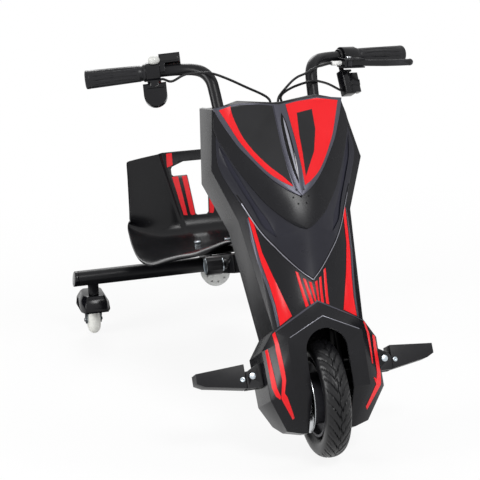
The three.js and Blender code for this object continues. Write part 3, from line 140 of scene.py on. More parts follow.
def black_card(name, place, size, aim=middle):
    """A card that only reflections see: it keeps black faces deep against the white room."""
    bpy.ops.object.select_all(action="DESELECT")
    bpy.ops.mesh.primitive_plane_add(size=1, location=place)
    card = bpy.context.object
    card.name = name
    card.scale = (*size, 1)
    card.rotation_euler = (Vector(aim) - Vector(place)).to_track_quat("Z", "Y").to_euler()
    felt = bpy.data.materials.new("black_felt")
    felt.use_nodes = True
    felt.node_tree.nodes.clear()
    dark = put(felt.node_tree, "ShaderNodeBsdfDiffuse", {"Color": linear("#101010")})
    put(felt.node_tree, "ShaderNodeOutputMaterial", {"Surface": dark.outputs[0]})
    card.data.materials.append(felt)
    for ray in ("camera", "diffuse", "transmission", "shadow"):
        setattr(card, "visible_" + ray, False)


for side, turn in (("left", -1), ("right", 1)):
    black_card(f"card_{side}_back", (turn * 2.6, 1.6, 0.6), (3.2, 2.6))
# This one lies on the floor under the rear frame, and looks straight up.
black_card("card_low_right", (-0.2, 0.4, 0.003), (0.34, 0.8), (-0.2, 0.4, 1.0))
lamp("key_box", (0.5, -2.4, 2.8), 40, 0.9)
lamp("right_box", (-2.7, -0.5, 1.1), 40, 1.1)
# The left box lights the red panel, but would grey the black beside it if it were mirrored.
lamp("left_box", (2.4, -1.2, 1.5), 24, 0.8).visible_glossy = False
lamp("back_box", (0.2, 2.4, 2.0), 24, 1.2)
bpy.context.scene.view_settings.view_transform = "Standard"


# The shield: one large moulding of black ABS, creased like folded card, clipped over the fork
# from the front. The mould polish leaves a high gloss with a faint ripple.
def finish(name, colours, roughness, grain_mm, depth_mm, patch_mm=60, metallic=0.0, gleam=0.22,
           kind="skin", rough_spread=0.08, worn=None):
    """A material of two shades that drift in patches, under a grain of skin, pebbles or lathe lines.

    Sizes are in millimetres. gleam is the specular level: black plastic keeps it low, so that the
    white room doesn't turn it grey. worn is the colour that handling brings out along sharp edges.
    """
    made = bpy.data.materials.new(name)
    made.use_nodes = True
    tree = made.node_tree
    tree.nodes.clear()
    spot = put(tree, "ShaderNodeTexCoord")
    drift = put(tree, "ShaderNodeTexNoise", {"Vector": spot.outputs["Object"],
                "Scale": 1000 / patch_mm, "Detail": 4.0, "Roughness": 0.6})
    mix = put(tree, "ShaderNodeMix", {0: drift.outputs["Fac"], 6: linear(colours[0]),
              7: linear(colours[1])}, data_type="RGBA")
    colour = mix.outputs[2]
    if worn:
        shape = put(tree, "ShaderNodeNewGeometry")
        ridge = put(tree, "ShaderNodeMapRange", {"Value": shape.outputs["Pointiness"],
                    1: 0.53, 2: 0.62})
        rub = put(tree, "ShaderNodeMath", {0: ridge.outputs[0], 1: drift.outputs["Fac"]},
                  operation="MULTIPLY")
        colour = put(tree, "ShaderNodeMix", {0: rub.outputs[0], 6: colour, 7: linear(worn)},
                     data_type="RGBA").outputs[2]
    rough = put(tree, "ShaderNodeMapRange", {"Value": drift.outputs["Fac"], 3: roughness - rough_spread,
                4: roughness + rough_spread})
    if kind == "pebble":
        grain = put(tree, "ShaderNodeTexVoronoi", {"Vector": spot.outputs["Object"],
                    "Scale": 1000 / grain_mm}, feature="SMOOTH_F1").outputs["Distance"]
    elif kind == "lathe":
        grain = put(tree, "ShaderNodeTexWave", {"Vector": spot.outputs["Object"],
                    "Scale": 100 * math.pi / grain_mm, "Distortion": 1.5},
                    wave_type="RINGS", rings_direction="X").outputs["Fac"]
    else:
        grain = put(tree, "ShaderNodeTexNoise", {"Vector": spot.outputs["Object"],
                    "Scale": 1000 / grain_mm, "Detail": 3.0, "Roughness": 0.55}).outputs["Fac"]
    skin = put(tree, "ShaderNodeBump", {"Height": grain, "Distance": depth_mm / 1000, "Strength": 0.5})
    shader = put(tree, "ShaderNodeBsdfPrincipled", {"Base Color": colour,
                 "Roughness": rough.outputs[0], "Metallic": metallic,
                 "Specular IOR Level": gleam, "Normal": skin.outputs["Normal"]})
    put(tree, "ShaderNodeOutputMaterial", {"Surface": shader.outputs[0]})
    return made


def paint(piece, *materials):
    """Gives an object these materials in place of its own."""
    piece.data.materials.clear()
    for material in materials:
        piece.data.materials.append(material)


def only(piece):
    """Selects one object alone and makes it active."""
    bpy.ops.object.select_all(action="DESELECT")
    piece.select_set(True)
    bpy.context.view_layer.objects.active = piece


def apply(piece, kind, **settings):
    """Adds a modifier with its settings and applies it."""
    only(piece)
    modifier = piece.modifiers.new(kind.lower(), kind)
    for key, value in settings.items():
        setattr(modifier, key, value)
    bpy.ops.object.modifier_apply(modifier=modifier.name)


def soften(piece, angle=30):
    """Smooth shading that keeps edges sharper than an angle."""
    only(piece)
    bpy.ops.object.shade_smooth_by_angle(angle=math.radians(angle))


def copy_of(node, name):
    """A joined copy of a CAD node, at the origin."""
    source = frame["nodes"][node]
    piece = bpy.data.objects.new(name, source.data.copy())
    piece.matrix_world = source.matrix_world
    bpy.context.collection.objects.link(piece)
    only(piece)
    bpy.ops.object.transform_apply(location=True, rotation=True, scale=True)
    bpy.ops.object.mode_set(mode="EDIT")
    bpy.ops.mesh.select_all(action="SELECT")
    bpy.ops.mesh.remove_doubles(threshold=0.00002)
    bpy.ops.mesh.dissolve_limited(angle_limit=math.radians(0.5))
    bpy.ops.object.mode_set(mode="OBJECT")
    return piece


# The leaning frame of the front: its origin is the wheel's middle, its third axis runs up the fork.
rake = math.radians(28.6)
axle_y, axle_z = -0.397685, 0.108
lean = Matrix.Translation((0, axle_y, axle_z)) @ Matrix.Rotation(-rake, 4, "X")
# Polished mould steel leaves the black deep, with a slow ripple in its reflections.
shell_black = finish("abs_gloss_black_moulded", ("#101013", "#16161a"), 0.26, 1.6, 0.012)
shield = copy_of("front_shield", "shield_moulding")
face_way = lean.to_3x3() @ Vector((0, -1, 0))


def flat_band(piece, width):
    """Cuts one flat band along the edges between the front faces and the side walls."""
    mesh = bmesh.new()
    mesh.from_mesh(piece.data)
    weights = mesh.edges.layers.float.new("bevel_weight_edge")
    shortest = 0.02
    for edge in mesh.edges:
        if len(edge.link_faces) != 2 or edge.calc_length() < shortest:
            continue
        walls = [abs(f.normal.x) > 0.75 and f.normal.dot(face_way) < 0.45 for f in edge.link_faces]
        fronts = [f.normal.dot(face_way) > 0.6 for f in edge.link_faces]
        edge[weights] = float(any(walls) and any(fronts) and edge.is_convex)
    mesh.to_mesh(piece.data)
    mesh.free()
    apply(piece, "BEVEL", width=width, segments=1, limit_method="WEIGHT", use_clamp_overlap=True)


def soft_creases(piece, width, rim_width, segments):
    """Bevels the creases of the front widely and every sharper or hidden edge a little."""
    mesh = bmesh.new()
    mesh.from_mesh(piece.data)
    weights = mesh.edges.layers.float.new("bevel_weight_edge")
    flattest, sharpest = math.radians(6), math.radians(75)
    for edge in mesh.edges:
        if len(edge.link_faces) != 2:
            continue
        turn = edge.calc_face_angle(0)
        outer = all(f.normal.dot(face_way) > -0.25 for f in edge.link_faces)
        if turn > flattest:
            edge[weights] = 1.0 if outer and turn < sharpest else rim_width / width
    mesh.to_mesh(piece.data)
    mesh.free()
    apply(piece, "BEVEL", width=width, segments=segments, limit_method="WEIGHT",
          use_clamp_overlap=True, harden_normals=False)


flat_band(shield, 0.006)
soft_creases(shield, 0.0028, 0.0006, 2)
soften(shield, 28)
paint(shield, shell_black)
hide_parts("front_shield")
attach(shield, "front_module")


# Raised plates and painted fields of the shield. The plates are moulded in steps, the fields are gloss
# paint and foil laid on them, and each follows the faces below it. Some are painted light: grey lines
# of painted highlight on lips and creases, and dark plates of painted shade in the lens, the groove and
# the sound holes.
def sheet_of(piece, test, name):
    """A copy of the faces of a piece that pass a test, as an open sheet."""
    copied = bpy.data.objects.new(name, piece.data.copy())
    bpy.context.collection.objects.link(copied)
    mesh = bmesh.new()
    mesh.from_mesh(copied.data)
    bmesh.ops.delete(mesh, geom=[f for f in mesh.faces if not test(f)], context="FACES")
    mesh.to_mesh(copied.data)
    mesh.free()
    return copied


def curved(points):
    """Points on a smooth line through the given ones, four to each stretch."""
    line, steps = [], 4
    for i in range(len(points) - 1):
        a, b, c, d = (Vector(points[min(max(k, 0), len(points) - 1)]) for k in range(i - 1, i + 3))
        for s in range(steps):
            t = s / steps
            line.append(tuple(0.5 * (2 * b + (c - a) * t + (2 * a - 5 * b + 4 * c - d) * t * t
                                     + (3 * b - a - 3 * c + d) * t ** 3)))
    return line + [tuple(points[-1])]


def mirrored(points):
    """The outline seen in a mirror across the middle."""
    return [(-x, z) for x, z in reversed(points)]


def ribbon(line, near, far):
    """The outline of a strip beside a line, between two distances to its right."""
    sides = [[], []]
    for i, (x, z) in enumerate(line):
        (x0, z0), (x1, z1) = line[max(i - 1, 0)], line[min(i + 1, len(line) - 1)]
        across = Vector((z1 - z0, x0 - x1)).normalized()
        for side, gap in zip(sides, (near, far)):
            side.append((x - across.x * gap, z - across.y * gap))
    return sides[0] + sides[1][::-1]


def prism(outline, place, reach=0.4):
    """A closed block over a flat outline of x and z in millimetres, along y."""
    mesh = bpy.data.meshes.new("prism")
    mesh.from_pydata([(x / 1000, reach, z / 1000) for x, z in outline], [], [range(len(outline))])
    block = bpy.data.objects.new("prism", mesh)
    bpy.context.collection.objects.link(block)
    only(block)
    bpy.ops.object.mode_set(mode="EDIT")
    bpy.ops.mesh.select_all(action="SELECT")
    bpy.ops.mesh.extrude_region_move(TRANSFORM_OT_translate={"value": (0, -2 * reach, 0)})
    bpy.ops.mesh.select_all(action="SELECT")
    bpy.ops.mesh.normals_make_consistent(inside=False)
    bpy.ops.object.mode_set(mode="OBJECT")
    block.matrix_world = place
    only(block)
    bpy.ops.object.transform_apply(location=True, rotation=True, scale=True)
    return block


def plate(name, sheet, outline, place, rise, material, chamfer=0.0, cuts=()):
    """A piece over an outline that stands rise millimetres proud of a sheet."""
    piece = bpy.data.objects.new(name, sheet.data.copy())
    bpy.context.collection.objects.link(piece)
    apply(piece, "SOLIDIFY", thickness=rise / 1000, offset=1.0, use_even_offset=True)
    block = prism(outline, place)
    apply(piece, "BOOLEAN", operation="INTERSECT", object=block, solver="EXACT")
    bpy.data.objects.remove(block)
    for hole in cuts:
        block = prism(hole, place)
        apply(piece, "BOOLEAN", operation="DIFFERENCE", object=block, solver="EXACT")
        bpy.data.objects.remove(block)
    only(piece)
    bpy.ops.object.mode_set(mode="EDIT")
    bpy.ops.mesh.select_all(action="SELECT")
    bpy.ops.mesh.remove_doubles(threshold=0.00002)
    bpy.ops.mesh.dissolve_limited(angle_limit=math.radians(1))
    bpy.ops.object.mode_set(mode="OBJECT")
    if chamfer:
        apply(piece, "BEVEL", width=chamfer / 1000, segments=2, limit_method="ANGLE",
              angle_limit=math.radians(55), use_clamp_overlap=True)
    soften(piece, 28)
    paint(piece, material)
    return piece


shield_sheet = copy_of("front_shield", "shield_sheet")
up_way = lean.to_3x3() @ Vector((0, 0, 1))
front_sheet = sheet_of(shield_sheet, lambda f: f.normal.dot(face_way) > 0.12
                       and f.normal.dot(up_way) < 0.75, "front_sheet")
badge_side = [(-123, 540), (-115, 515.5), (-105, 490.5), (-91.8, 461), (-78, 438), (-61, 411),
              (-46.8, 391.5), (-35, 378), (-19.6, 363.4), (0, 350)]
badge_top = [(118, 538), (74, 545), (36, 542), (0, 536.5), (-36, 542), (-74, 545)]
badge_low = curved(badge_side)
badge = badge_low + mirrored(badge_low)[1:] + badge_top[1:]
step_low = curved([(-121, 535), (-128, 501), (-119, 468), (-109, 441), (-92, 402), (-69, 358),
                   (-44, 323), (-17.6, 298.7), (0, 290)])
step = step_low + mirrored(step_low)[1:] + badge_top[1:]
bib_low = curved([(-117, 540), (-125, 493), (-130, 438), (-116, 393), (-101, 358), (-89, 329),
                  (-76, 298.5), (-58.5, 269), (-36, 238.5), (-16.6, 215.7), (0, 200)])
bib = bib_low + mirrored(bib_low)[1:] + badge_top[1:]
leaf = (curved([(-124, 470), (-116, 429), (-103, 393), (-85, 348), (-73, 312), (-63, 297),
                (-52, 284)])
        + curved([(-52, 284), (-62, 318), (-78, 352), (-97, 400), (-111, 440), (-124, 470)])[1:-1])
strip_out = curved([(-113.5, 535), (-100, 499), (-88.7, 470), (-76.6, 446.6), (-65.6, 427.3),
                    (-51.5, 405.7), (-39.7, 392), (-24, 378.4), (-11.2, 370.5)])
strip_in = curved([(-11, 372), (-23.6, 390), (-43, 412), (-57.6, 432), (-71.4, 455.7), (-82.8, 483),
                   (-90.7, 520.6), (-91, 541)])
left_field = strip_out + [(-13.4, 405), (-14.6, 456), (-13.6, 507), (-12.6, 535), (-36, 539.5),
                          (-74, 542.5)]
right_field = mirrored(strip_out) + [(113, 535), (74, 542.5), (36, 539.5), (12.6, 535), (13.6, 507),
                                     (14.6, 456), (13.4, 405)]
blade = [(30, 516), (60, 521), (57, 480), (44, 436), (17, 388), (22, 436), (24, 470)]
keel = [(-11, 536), (-12, 500), (-13.4, 455), (-12.2, 405), (-7.5, 366), (0, 352), (7.5, 366),
        (12.2, 405), (13.4, 455), (12, 500), (11, 536)]
lens_side = curved([(0, 519), (-5.2, 496), (-7, 448), (-4.6, 402), (0, 374)])
lens = lens_side + mirrored(lens_side)[1:-1]
# The spine is the lens drawn in about its middle and pushed a little to the left.
lens_middle = 446
spine = [(x * 0.34 + 1.3, lens_middle + (z - lens_middle) * 0.86) for x, z in lens]
glint = (curved([(5.6, 440), (5.4, 415), (3.9, 396), (1.6, 380)])
         + curved([(1.6, 380), (2.7, 396), (4.2, 415), (5.6, 440)])[1:-1])
inner_flash = [(82, 119), (86.5, 115.5), (87, 85.6), (84.6, 40), (81.6, 40), (81.4, 62), (80.4, 102)]
outer_flash = [(96, 93), (102.5, 91), (101, 22.4), (97, 4), (69.2, -36), (65.4, -31), (84, 4),
               (80.5, 16), (87, 13), (91, 24), (92.5, 61.6)]
wedge = [(-91.6, 332), (-86.6, 332), (-84, 313), (-79.4, 264), (-69, 219.5), (-58, 177.6), (-48, 142),
         (-71.3, 128), (-72.3, 165), (-76.8, 202.6), (-83.8, 246), (-87.8, 288)]
wedge_edge = [(-92.4, 332), (-88.8, 288), (-84.8, 246), (-77.8, 202.6), (-73.3, 165), (-72.3, 128),
              (-76, 126), (-77.5, 165), (-82, 202.6), (-89, 246), (-93, 288), (-95, 330)]
slashes = [[(-28.3, 221), (-23.4, 217.5), (-16, 156), (-21.6, 153.5)],
           [(-17, 207), (-12.3, 203.4), (-6.8, 159.5), (-12, 157)],
           [(-8.2, 199.5), (-3, 197), (-1.4, 162), (-4.2, 160.6)]]
arch_highlight = [(0, 132.9), (-64, 102.4), (-64, 101.3), (0, 131.6)]
brow = [(0, 163.5), (-82, 120.5), (-82, 117.5), (0, 160)]
long_flash = [(-86.5, 115.5), (-82, 119), (-82, 102), (-79.1, 44.7), (-79.2, 30.8), (-83.8, 9.3),
              (-66.2, -33.4), (-69.2, -35.2), (-84.5, -8), (-89.8, 2), (-84.9, 32), (-87.4, 85.6)]
short_flash = [(-102.2, 90), (-98.2, 90.7), (-96.2, 61.6), (-93.7, 20.5), (-89.8, 4.5), (-91.5, 0.2),
               (-97, 7.3), (-100.9, 22.4)]
# Sprayed gloss red: even, with the softest orange peel.
gloss_red = finish("gloss_red_paint_on_abs", ("#e0141c", "#ea1d25"), 0.3, 1.4, 0.006,
                   rough_spread=0.03)
# Grey metallic paint for the silver print and edging, laid light enough to be also a painted highlight
# on the chamfers: fine flakes that sparkle where a step turns to the light.
silver_grey = finish("silver_grey_metallic_paint", ("#44444d", "#53535d"), 0.34, 0.9, 0.006,
                     metallic=0.5)
# The same paint made lighter: a painted highlight on the thin lips and ridge lines, and on the lens's
# spine.
highlight_grey = finish("grey_painted_highlight", ("#85858e", "#9c9ca5"), 0.3, 0.9, 0.006,
                     metallic=0.5)
# Printed foil: flatter and drier than the moulding that it lies on.
dark_field = finish("black_foil_on_abs", ("#141416", "#1a1a1d"), 0.34, 1.2, 0.008)
# The raised bib is a blue-black a shade lighter than the shell round it: partly its own tint, partly a
# painted sheen of the light it catches.
bib_black = finish("abs_gloss_black_raised", ("#1a1a21", "#23232c"), 0.3, 1.6, 0.01, gleam=0.26)
# The leaf-shaped hollows are sprayed navy metallic, lighter than the two blacks round them: partly
# their own tint, partly a painted sheen.
navy_field = finish("navy_paint_with_painted_sheen", ("#20202a", "#2b2b36"), 0.32, 0.9, 0.006, metallic=0.3)
# Painted shade: dark, rough plates that stand for the shadow in recesses and sound holes.
painted_shade_black = finish("painted_shade_matt_black", ("#060607", "#0a0a0b"), 0.6, 0.8, 0.02, gleam=0.15)
# A painted highlight: a thin white gloss line for the light caught round the recess.
glint_white = finish("white_painted_glint", ("#d8d8dc", "#e4e4e6"), 0.25, 1.2, 0.006)


def dot(x, z):
    """The round outline of a sound hole, 3.4 mm across."""
    radius, sides = 1.7, 12
    return [(x + radius * math.cos(k * math.tau / sides), z + radius * math.sin(k * math.tau / sides))
            for k in range(sides)]


# Each layer: its name, outline, rise, material, chamfer and the outlines cut out of it.
layers = [
    ("bib_plate", bib, 2.4, bib_black, 1.8, (leaf, mirrored(leaf))),
    ("step_plate", step, 4.8, shell_black, 1.8, ()),
    ("badge_rim", badge, 6.8, silver_grey, 1.2, ()),
    ("badge_field_right", left_field, 7.2, dark_field, 0, ()),
    ("badge_stripe_red", strip_out + strip_in[1:], 7.5, gloss_red, 0, ()),
    ("badge_field_left", right_field, 7.4, gloss_red, 0, ()),
    ("badge_blade", blade, 7.7, dark_field, 0, ()),
    ("badge_keel", keel, 8.6, silver_grey, 0.8, ()),
    # The lens is a dark plate of painted shade.
    ("keel_recess_shade", lens, 8.7, painted_shade_black, 0, ()),
    # The spine is silver, lightened into a painted highlight.
    ("keel_spine", spine, 9.6, highlight_grey, 0.4, ()),
    ("keel_glint", glint, 8.9, glint_white, 0, ()),
]
for side, turn in (("right", list), ("left", mirrored)):
    layers += [
        (f"leaf_field_{side}", turn(leaf), 0.5, navy_field, 0, ()),
        # A black ribbon of painted shade lies in the bib's groove.
        (f"bib_groove_shade_{side}", turn(ribbon(bib_low[14:], 1.2, 3.0)), 2.6, painted_shade_black, 0, ()),
        # A painted highlight along the bib's lip.
        (f"bib_highlight_{side}", turn(ribbon(bib_low[16:], 0, 1.2)), 2.7, highlight_grey, 0.2, ()),
        (f"flank_wedge_{side}", turn(wedge), 0.6, gloss_red, 0.2, ()),
        (f"flank_edge_{side}", turn(wedge_edge), 0.5, silver_grey, 0.2, ()),
        (f"brow_line_{side}", turn(brow), 0.6, silver_grey, 0.2, ()),
        # A painted highlight along the arch's ridge crease.
        (f"arch_highlight_{side}", turn(arch_highlight), 0.5, highlight_grey, 0.2, ()),
    ]
    layers += [(f"slash_{side}_{k + 1}", turn(s), 0.6, gloss_red, 0.2, ())
               for k, s in enumerate(slashes)]
layers += [
    ("long_flash_right", long_flash, 0.6, gloss_red, 0.2, ()),
    ("short_flash_right", short_flash, 0.6, gloss_red, 0.2, ()),
    ("inner_flash_left", inner_flash, 0.6, gloss_red, 0.2, ()),
    ("outer_flash_left", outer_flash, 0.6, gloss_red, 0.2, ()),
]
# Each sound hole is a dark disc of painted shade, just proud of the step, or of the badge's rim, under
# it.
vents = [(-7.2, 363, 7.1), (7.2, 363, 7.1), (-14.3, 350.5, 5.1), (0, 350.5, 7.1), (14.3, 350.5, 5.1),
         (-7.5, 337.3, 5.1), (7.5, 337.3, 5.1)]
layers += [(f"sound_hole_shade_{k + 1}", dot(x, z), rise, painted_shade_black, 0, ())
           for k, (x, z, rise) in enumerate(vents)]
for name, outline, rise, material, chamfer, cuts in layers:
    made = plate(name, front_sheet, outline, lean, rise, material, chamfer, cuts)
    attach(made, "front_module")
bpy.data.objects.remove(shield_sheet)
bpy.data.objects.remove(front_sheet)


# The shield's covers: satin ABS panels, injection-moulded like the shield, that close its back
# and its top. They are screwed to bosses inside.
body_of = {node: body for body, nodes in frame["record"]["behaviour"]["bodies"].items()
           for node in nodes}


def stand_in(piece, node):
    """A piece takes a CAD node's place and body."""
    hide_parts(node)
    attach(piece, body_of[node])


def eased(node, material, width=1.0, shortest=4.0, segments=2, angle=35):
    """A copy of a CAD node whose longer edges are rounded, in millimetres."""
    piece = copy_of(node, node + "_made")
    mesh = bmesh.new()
    mesh.from_mesh(piece.data)
    weights = mesh.edges.layers.float.new("bevel_weight_edge")
    for edge in mesh.edges:
        if len(edge.link_faces) == 2 and edge.calc_length() > shortest / 1000:
            edge[weights] = 1.0 if edge.calc_face_angle(0) > math.radians(angle) else 0.0
    mesh.to_mesh(piece.data)
    mesh.free()
    apply(piece, "BEVEL", width=width / 1000, segments=segments, limit_method="WEIGHT",
          use_clamp_overlap=True)
    soften(piece, 32)
    paint(piece, material)
    stand_in(piece, node)
    return piece


# Spark-eroded mould grain scatters light: a satin black that hides scratches.
satin_black = finish("abs_satin_black_moulded", ("#131315", "#1a1a1c"), 0.42, 0.5, 0.03)
for node in ("rear_cover_lower", "rear_cover_upper", "top_cover"):
    eased(node, satin_black, 0.7, 8)


# The front wheel: a pneumatic tyre on a cast motor hub. Its tread is directional: long curved
# grooves sweep down from both shoulders to a zigzag at the crown.
# Vulcanised rubber: dull, with a bloom that drifts from brown-black to grey-black.
tyre_black = finish("tyre_rubber_vulcanised", ("#0e0e10", "#161618"), 0.36, 0.7, 0.03, patch_mm=30,
                    gleam=0.35)
wheel_middle = Vector((0, axle_y, axle_z))
ring_radius, half_width = 0.089, 0.0235
bpy.ops.object.select_all(action="DESELECT")
bpy.ops.mesh.primitive_torus_add(major_radius=ring_radius, minor_radius=half_width,
                                 major_segments=720, minor_segments=80,
                                 rotation=(0, math.pi / 2, 0))
tyre = bpy.context.object
tyre.name = "tyre_tread"
bpy.ops.object.transform_apply(location=False, rotation=True, scale=False)
# Grooves repeat once a pitch, and curve by the sweep of it from the crown to the shoulder.
lugs, pitch, crown_half = 30, 22.6, 24
sweep, power = 2.1, 0.6


def groove(side, turn, shift, start, end, half, deep):
    """How deep a swept groove is at a place on the tread, in millimetres."""
    if not start < side < end:
        return 0.0
    off = abs((lugs * turn + sweep * side ** power + shift + 0.5) % 1 - 0.5) * pitch
    slope = sweep * pitch * power * side ** (power - 1) / crown_half
    taper = min(1.0, (end - side) / 0.12, (side - start) / 0.05)
    return deep * min(max((half - off / math.hypot(1, slope)) / 0.6, 0.0), 1.0) * taper


section_rise, bead_radius, shoulder_radius, wall_radius = 0.019, 0.0712, 0.0935, 0.075
zigzag_half, zigzag_deep = 1.3, 1.8
for vertex in tyre.data.vertices:
    x, y, z = vertex.co
    turn = math.atan2(z, y) / math.tau
    flat = math.atan2(x, math.hypot(y, z) - ring_radius)
    # More of the mesh's rows gather on the tread, where the grooves are.
    bent = flat - 0.55 * math.sin(flat)
    wide = half_width * math.sin(bent)
    round_out = math.cos(bent)
    height = ring_radius + section_rise * (round_out if round_out < 0 else round_out ** 0.82)
    height = max(height, bead_radius)
    side = abs(wide) / half_width
    shift = 0.5 if wide < 0 else 0.0
    depth = 0.0
    if height > shoulder_radius:
        depth = max(groove(side, turn, shift, 0.1, 0.93, 1.25, 2.4),
                    groove(side, turn, shift + 0.5, 0.5, 0.9, 0.8, 1.4),
                    groove(side, turn, shift + 0.28, 0.2, 0.42, 0.7, 1.2))
        zigzag = abs(wide * 1000 - 1.5 * math.asin(math.sin(math.tau * lugs * turn)) / 1.6)
        depth = max(depth, zigzag_deep * min(max((zigzag_half - zigzag) / 0.6, 0), 1))
    elif height > wall_radius:
        # Two low rings stand out on the side wall.
        depth = -0.5 * max(0.0, 1 - ((height * 1000 - 85.5) / 1.1) ** 2)
        depth -= 0.35 * max(0.0, 1 - ((height * 1000 - 91) / 0.8) ** 2)
    scale = (height - depth / 1000) / math.hypot(y, z)
    vertex.co = (wide, y * scale, z * scale)
tyre.data.transform(Matrix.Translation(wheel_middle))
soften(tyre, 40)
paint(tyre, tyre_black)
stand_in(tyre, "tyre")
# Die-cast alloy under a thin black wash: the grain of the casting shows through.
cast_black = finish("die_cast_aluminium_black_wash", ("#2b2b2f", "#3a3a3f"), 0.42, 0.8, 0.05,
                    metallic=0.6)
eased("hub_motor", cast_black, 1.0, 3)
# Turned steel: fine concentric tool lines stretch each highlight round the part.
bright_steel = finish("turned_steel_bright", ("#b9bcc0", "#d2d4d6"), 0.24, 0.6, 0.008, patch_mm=9,
                      metallic=1.0, gleam=0.5, kind="lathe")
for node in ("brake_rotor", "front_axle", "axle_nut_right", "axle_nut_left"):
    eased(node, bright_steel, 0.4, 2)


# Fork, beam and rear frame: welded steel tube under semi-gloss black powder coat. Zinc-plated
# headset cups are pressed into the head tube, and the cast blocks and the battery bolt on.
# Baked powder flows out to a semi-gloss black with an orange-peel skin.
powder_black = finish("steel_powder_coat_black", ("#0f0f11", "#151518"), 0.34, 0.8, 0.03)
for node in ("fork", "front_beam", "rear_tube", "seat_bracket"):
    eased(node, powder_black, 1.6, 6, 3)
eased("cross_tube", powder_black, 0.6, 6)
# Zinc plate: cool, faintly blue, with cloudy patches from the passivation bath.
zinc = finish("zinc_plated_steel", ("#aab4bc", "#cbd3d8"), 0.3, 0.4, 0.01, patch_mm=7,
              metallic=1.0, gleam=0.5)
for node in ("headset_upper", "headset_lower"):
    eased(node, zinc, 0.5, 2)
for node, width in (("brake_caliper", 1.2), ("bar_clamp", 1.2), ("controller", 1.5)):
    eased(node, cast_black, width)
# Heat-shrunk film: glossy, pulled into slow waves over the cells.
battery_blue = finish("shrink_wrap_blue", ("#1c4680", "#265a9c"), 0.3, 3.0, 0.05, patch_mm=25)
eased("battery", battery_blue, 4.0, 10, 4)


# Handlebar and cables: a bent steel tube, and PVC-jacketed leads that run from the controls
# down through the top cover.
def rounded(node, material, levels, swell):
    """A CAD tube made round again: subdivided, and swelled by what that takes off it."""
    piece = copy_of(node, node + "_made")
    mesh = bmesh.new()
    mesh.from_mesh(piece.data)
    crease = mesh.edges.layers.float.new("crease_edge")
    for edge in mesh.edges:
        if len(edge.link_faces) == 2 and edge.calc_face_angle(0) > math.radians(70):
            edge[crease] = 1.0
    mesh.to_mesh(piece.data)
    mesh.free()
    apply(piece, "SUBSURF", levels=levels, render_levels=levels)
    apply(piece, "DISPLACE", strength=swell / 1000, mid_level=0.0)
    soften(piece, 45)
    paint(piece, material)
    stand_in(piece, node)
    return piece


rounded("handlebar", powder_black, 2, 0.45)
# Extruded PVC: smooth, with a narrow soft highlight along its length.
jacket_black = finish("pvc_jacket_black", ("#0f0f11", "#18181a"), 0.38, 0.6, 0.01)
for node in ("throttle_cable", "brake_cable", "pod_cable"):
    rounded(node, jacket_black, 1, 0.25)


# Grips: moulded rubber sleeves, pushed over the bar's ends and held by friction. Each has
# lengthwise ribs, a flange at its inner end and a plain rounded outer end.
# Moulded rubber: a soft sheen on the ribs, dead black in the flutes.
grip_rubber = finish("grip_rubber_moulded", ("#131316", "#1a1a1d"), 0.32, 0.4, 0.006, gleam=0.3)
bar_ends = {}
for side in (-1, 1):
    # The axis of the bar's straight end, from its tip back to its bend.
    tip = lean @ Vector((side * 0.316, 0.112, 0.667))
    elbow = lean @ Vector((side * 0.15, 0.07, 0.659))
    along = (tip - elbow).normalized()
    up = lean.to_3x3() @ Vector((0, 0, 1))
    back = up.cross(along).normalized()
    up = along.cross(back)
    bar_ends[side] = Matrix.Translation(tip) @ Matrix((along, back, up)).transposed().to_4x4()


def ribbed_grip(side, name, node):
    """A grip round its own X axis, then put on the bar's end."""
    sides, ribs, ribbed_rows, rib_deep = 180, 12, 31, 0.0013
    # Each row: its place along the bar, its radius and its number among the ribbed ones.
    rows = [(-0.112, 0.0112, 0), (-0.112, 0.0165, 0), (-0.1095, 0.0172, 0), (-0.1065, 0.0165, 0),
            (-0.1055, 0.0146, 0), (-0.1015, 0.0146, 0), (-0.100, 0.0155, 0), (-0.097, 0.0155, 0)]
    rows += [(-0.096 + k * 0.003, 0.0155 + k * 0.00007, k) for k in range(ribbed_rows)]
    rows += [(-0.0055, 0.0174, 0), (-0.0045, 0.0176, 0), (-0.0035, 0.0178, 0), (0.0012, 0.018, 0),
             (0.0032, 0.0173, 0), (0.004, 0.0158, 0), (0.0032, 0.0138, 0), (0.0032, 0.004, 0)]
    bpy.ops.object.select_all(action="DESELECT")
    bpy.ops.mesh.primitive_circle_add(vertices=sides, radius=1, fill_type="NOTHING",
                                      rotation=(0, math.pi / 2, 0))
    piece = bpy.context.object
    piece.name = name
    bpy.ops.object.transform_apply(location=False, rotation=True, scale=False)
    bpy.ops.object.mode_set(mode="EDIT")
    bpy.ops.mesh.select_all(action="SELECT")
    for _ in rows[1:]:
        bpy.ops.mesh.extrude_region_move()
    bpy.ops.mesh.edge_face_add()
    bpy.ops.object.mode_set(mode="OBJECT")
    for index, vertex in enumerate(piece.data.vertices):
        x, radius, ribbed = rows[index // sides]
        turn = math.atan2(vertex.co.z, vertex.co.y)
        if ribbed:
            # Each flute is a long leaf, widest nearer the flange and closed at both ends.
            leaf_wide = 1.15 * math.sin(math.pi * (ribbed / (ribbed_rows - 1)) ** 0.8)
            away = abs((turn / math.tau * ribs + 0.5) % 1 - 0.5) * 2
            radius -= rib_deep * min(max((leaf_wide * 0.62 - away) / 0.25, 0), 1)
        vertex.co = (x, radius * math.cos(turn), radius * math.sin(turn))
    piece.data.transform(bar_ends[side])
    only(piece)
    bpy.ops.object.mode_set(mode="EDIT")
    bpy.ops.mesh.select_all(action="SELECT")
    bpy.ops.mesh.normals_make_consistent(inside=False)
    bpy.ops.object.mode_set(mode="OBJECT")
    soften(piece, 40)
    paint(piece, grip_rubber)
    stand_in(piece, node)


ribbed_grip(-1, "grip_sleeve_right", "grip_right")
ribbed_grip(1, "grip_sleeve_left", "grip_left")


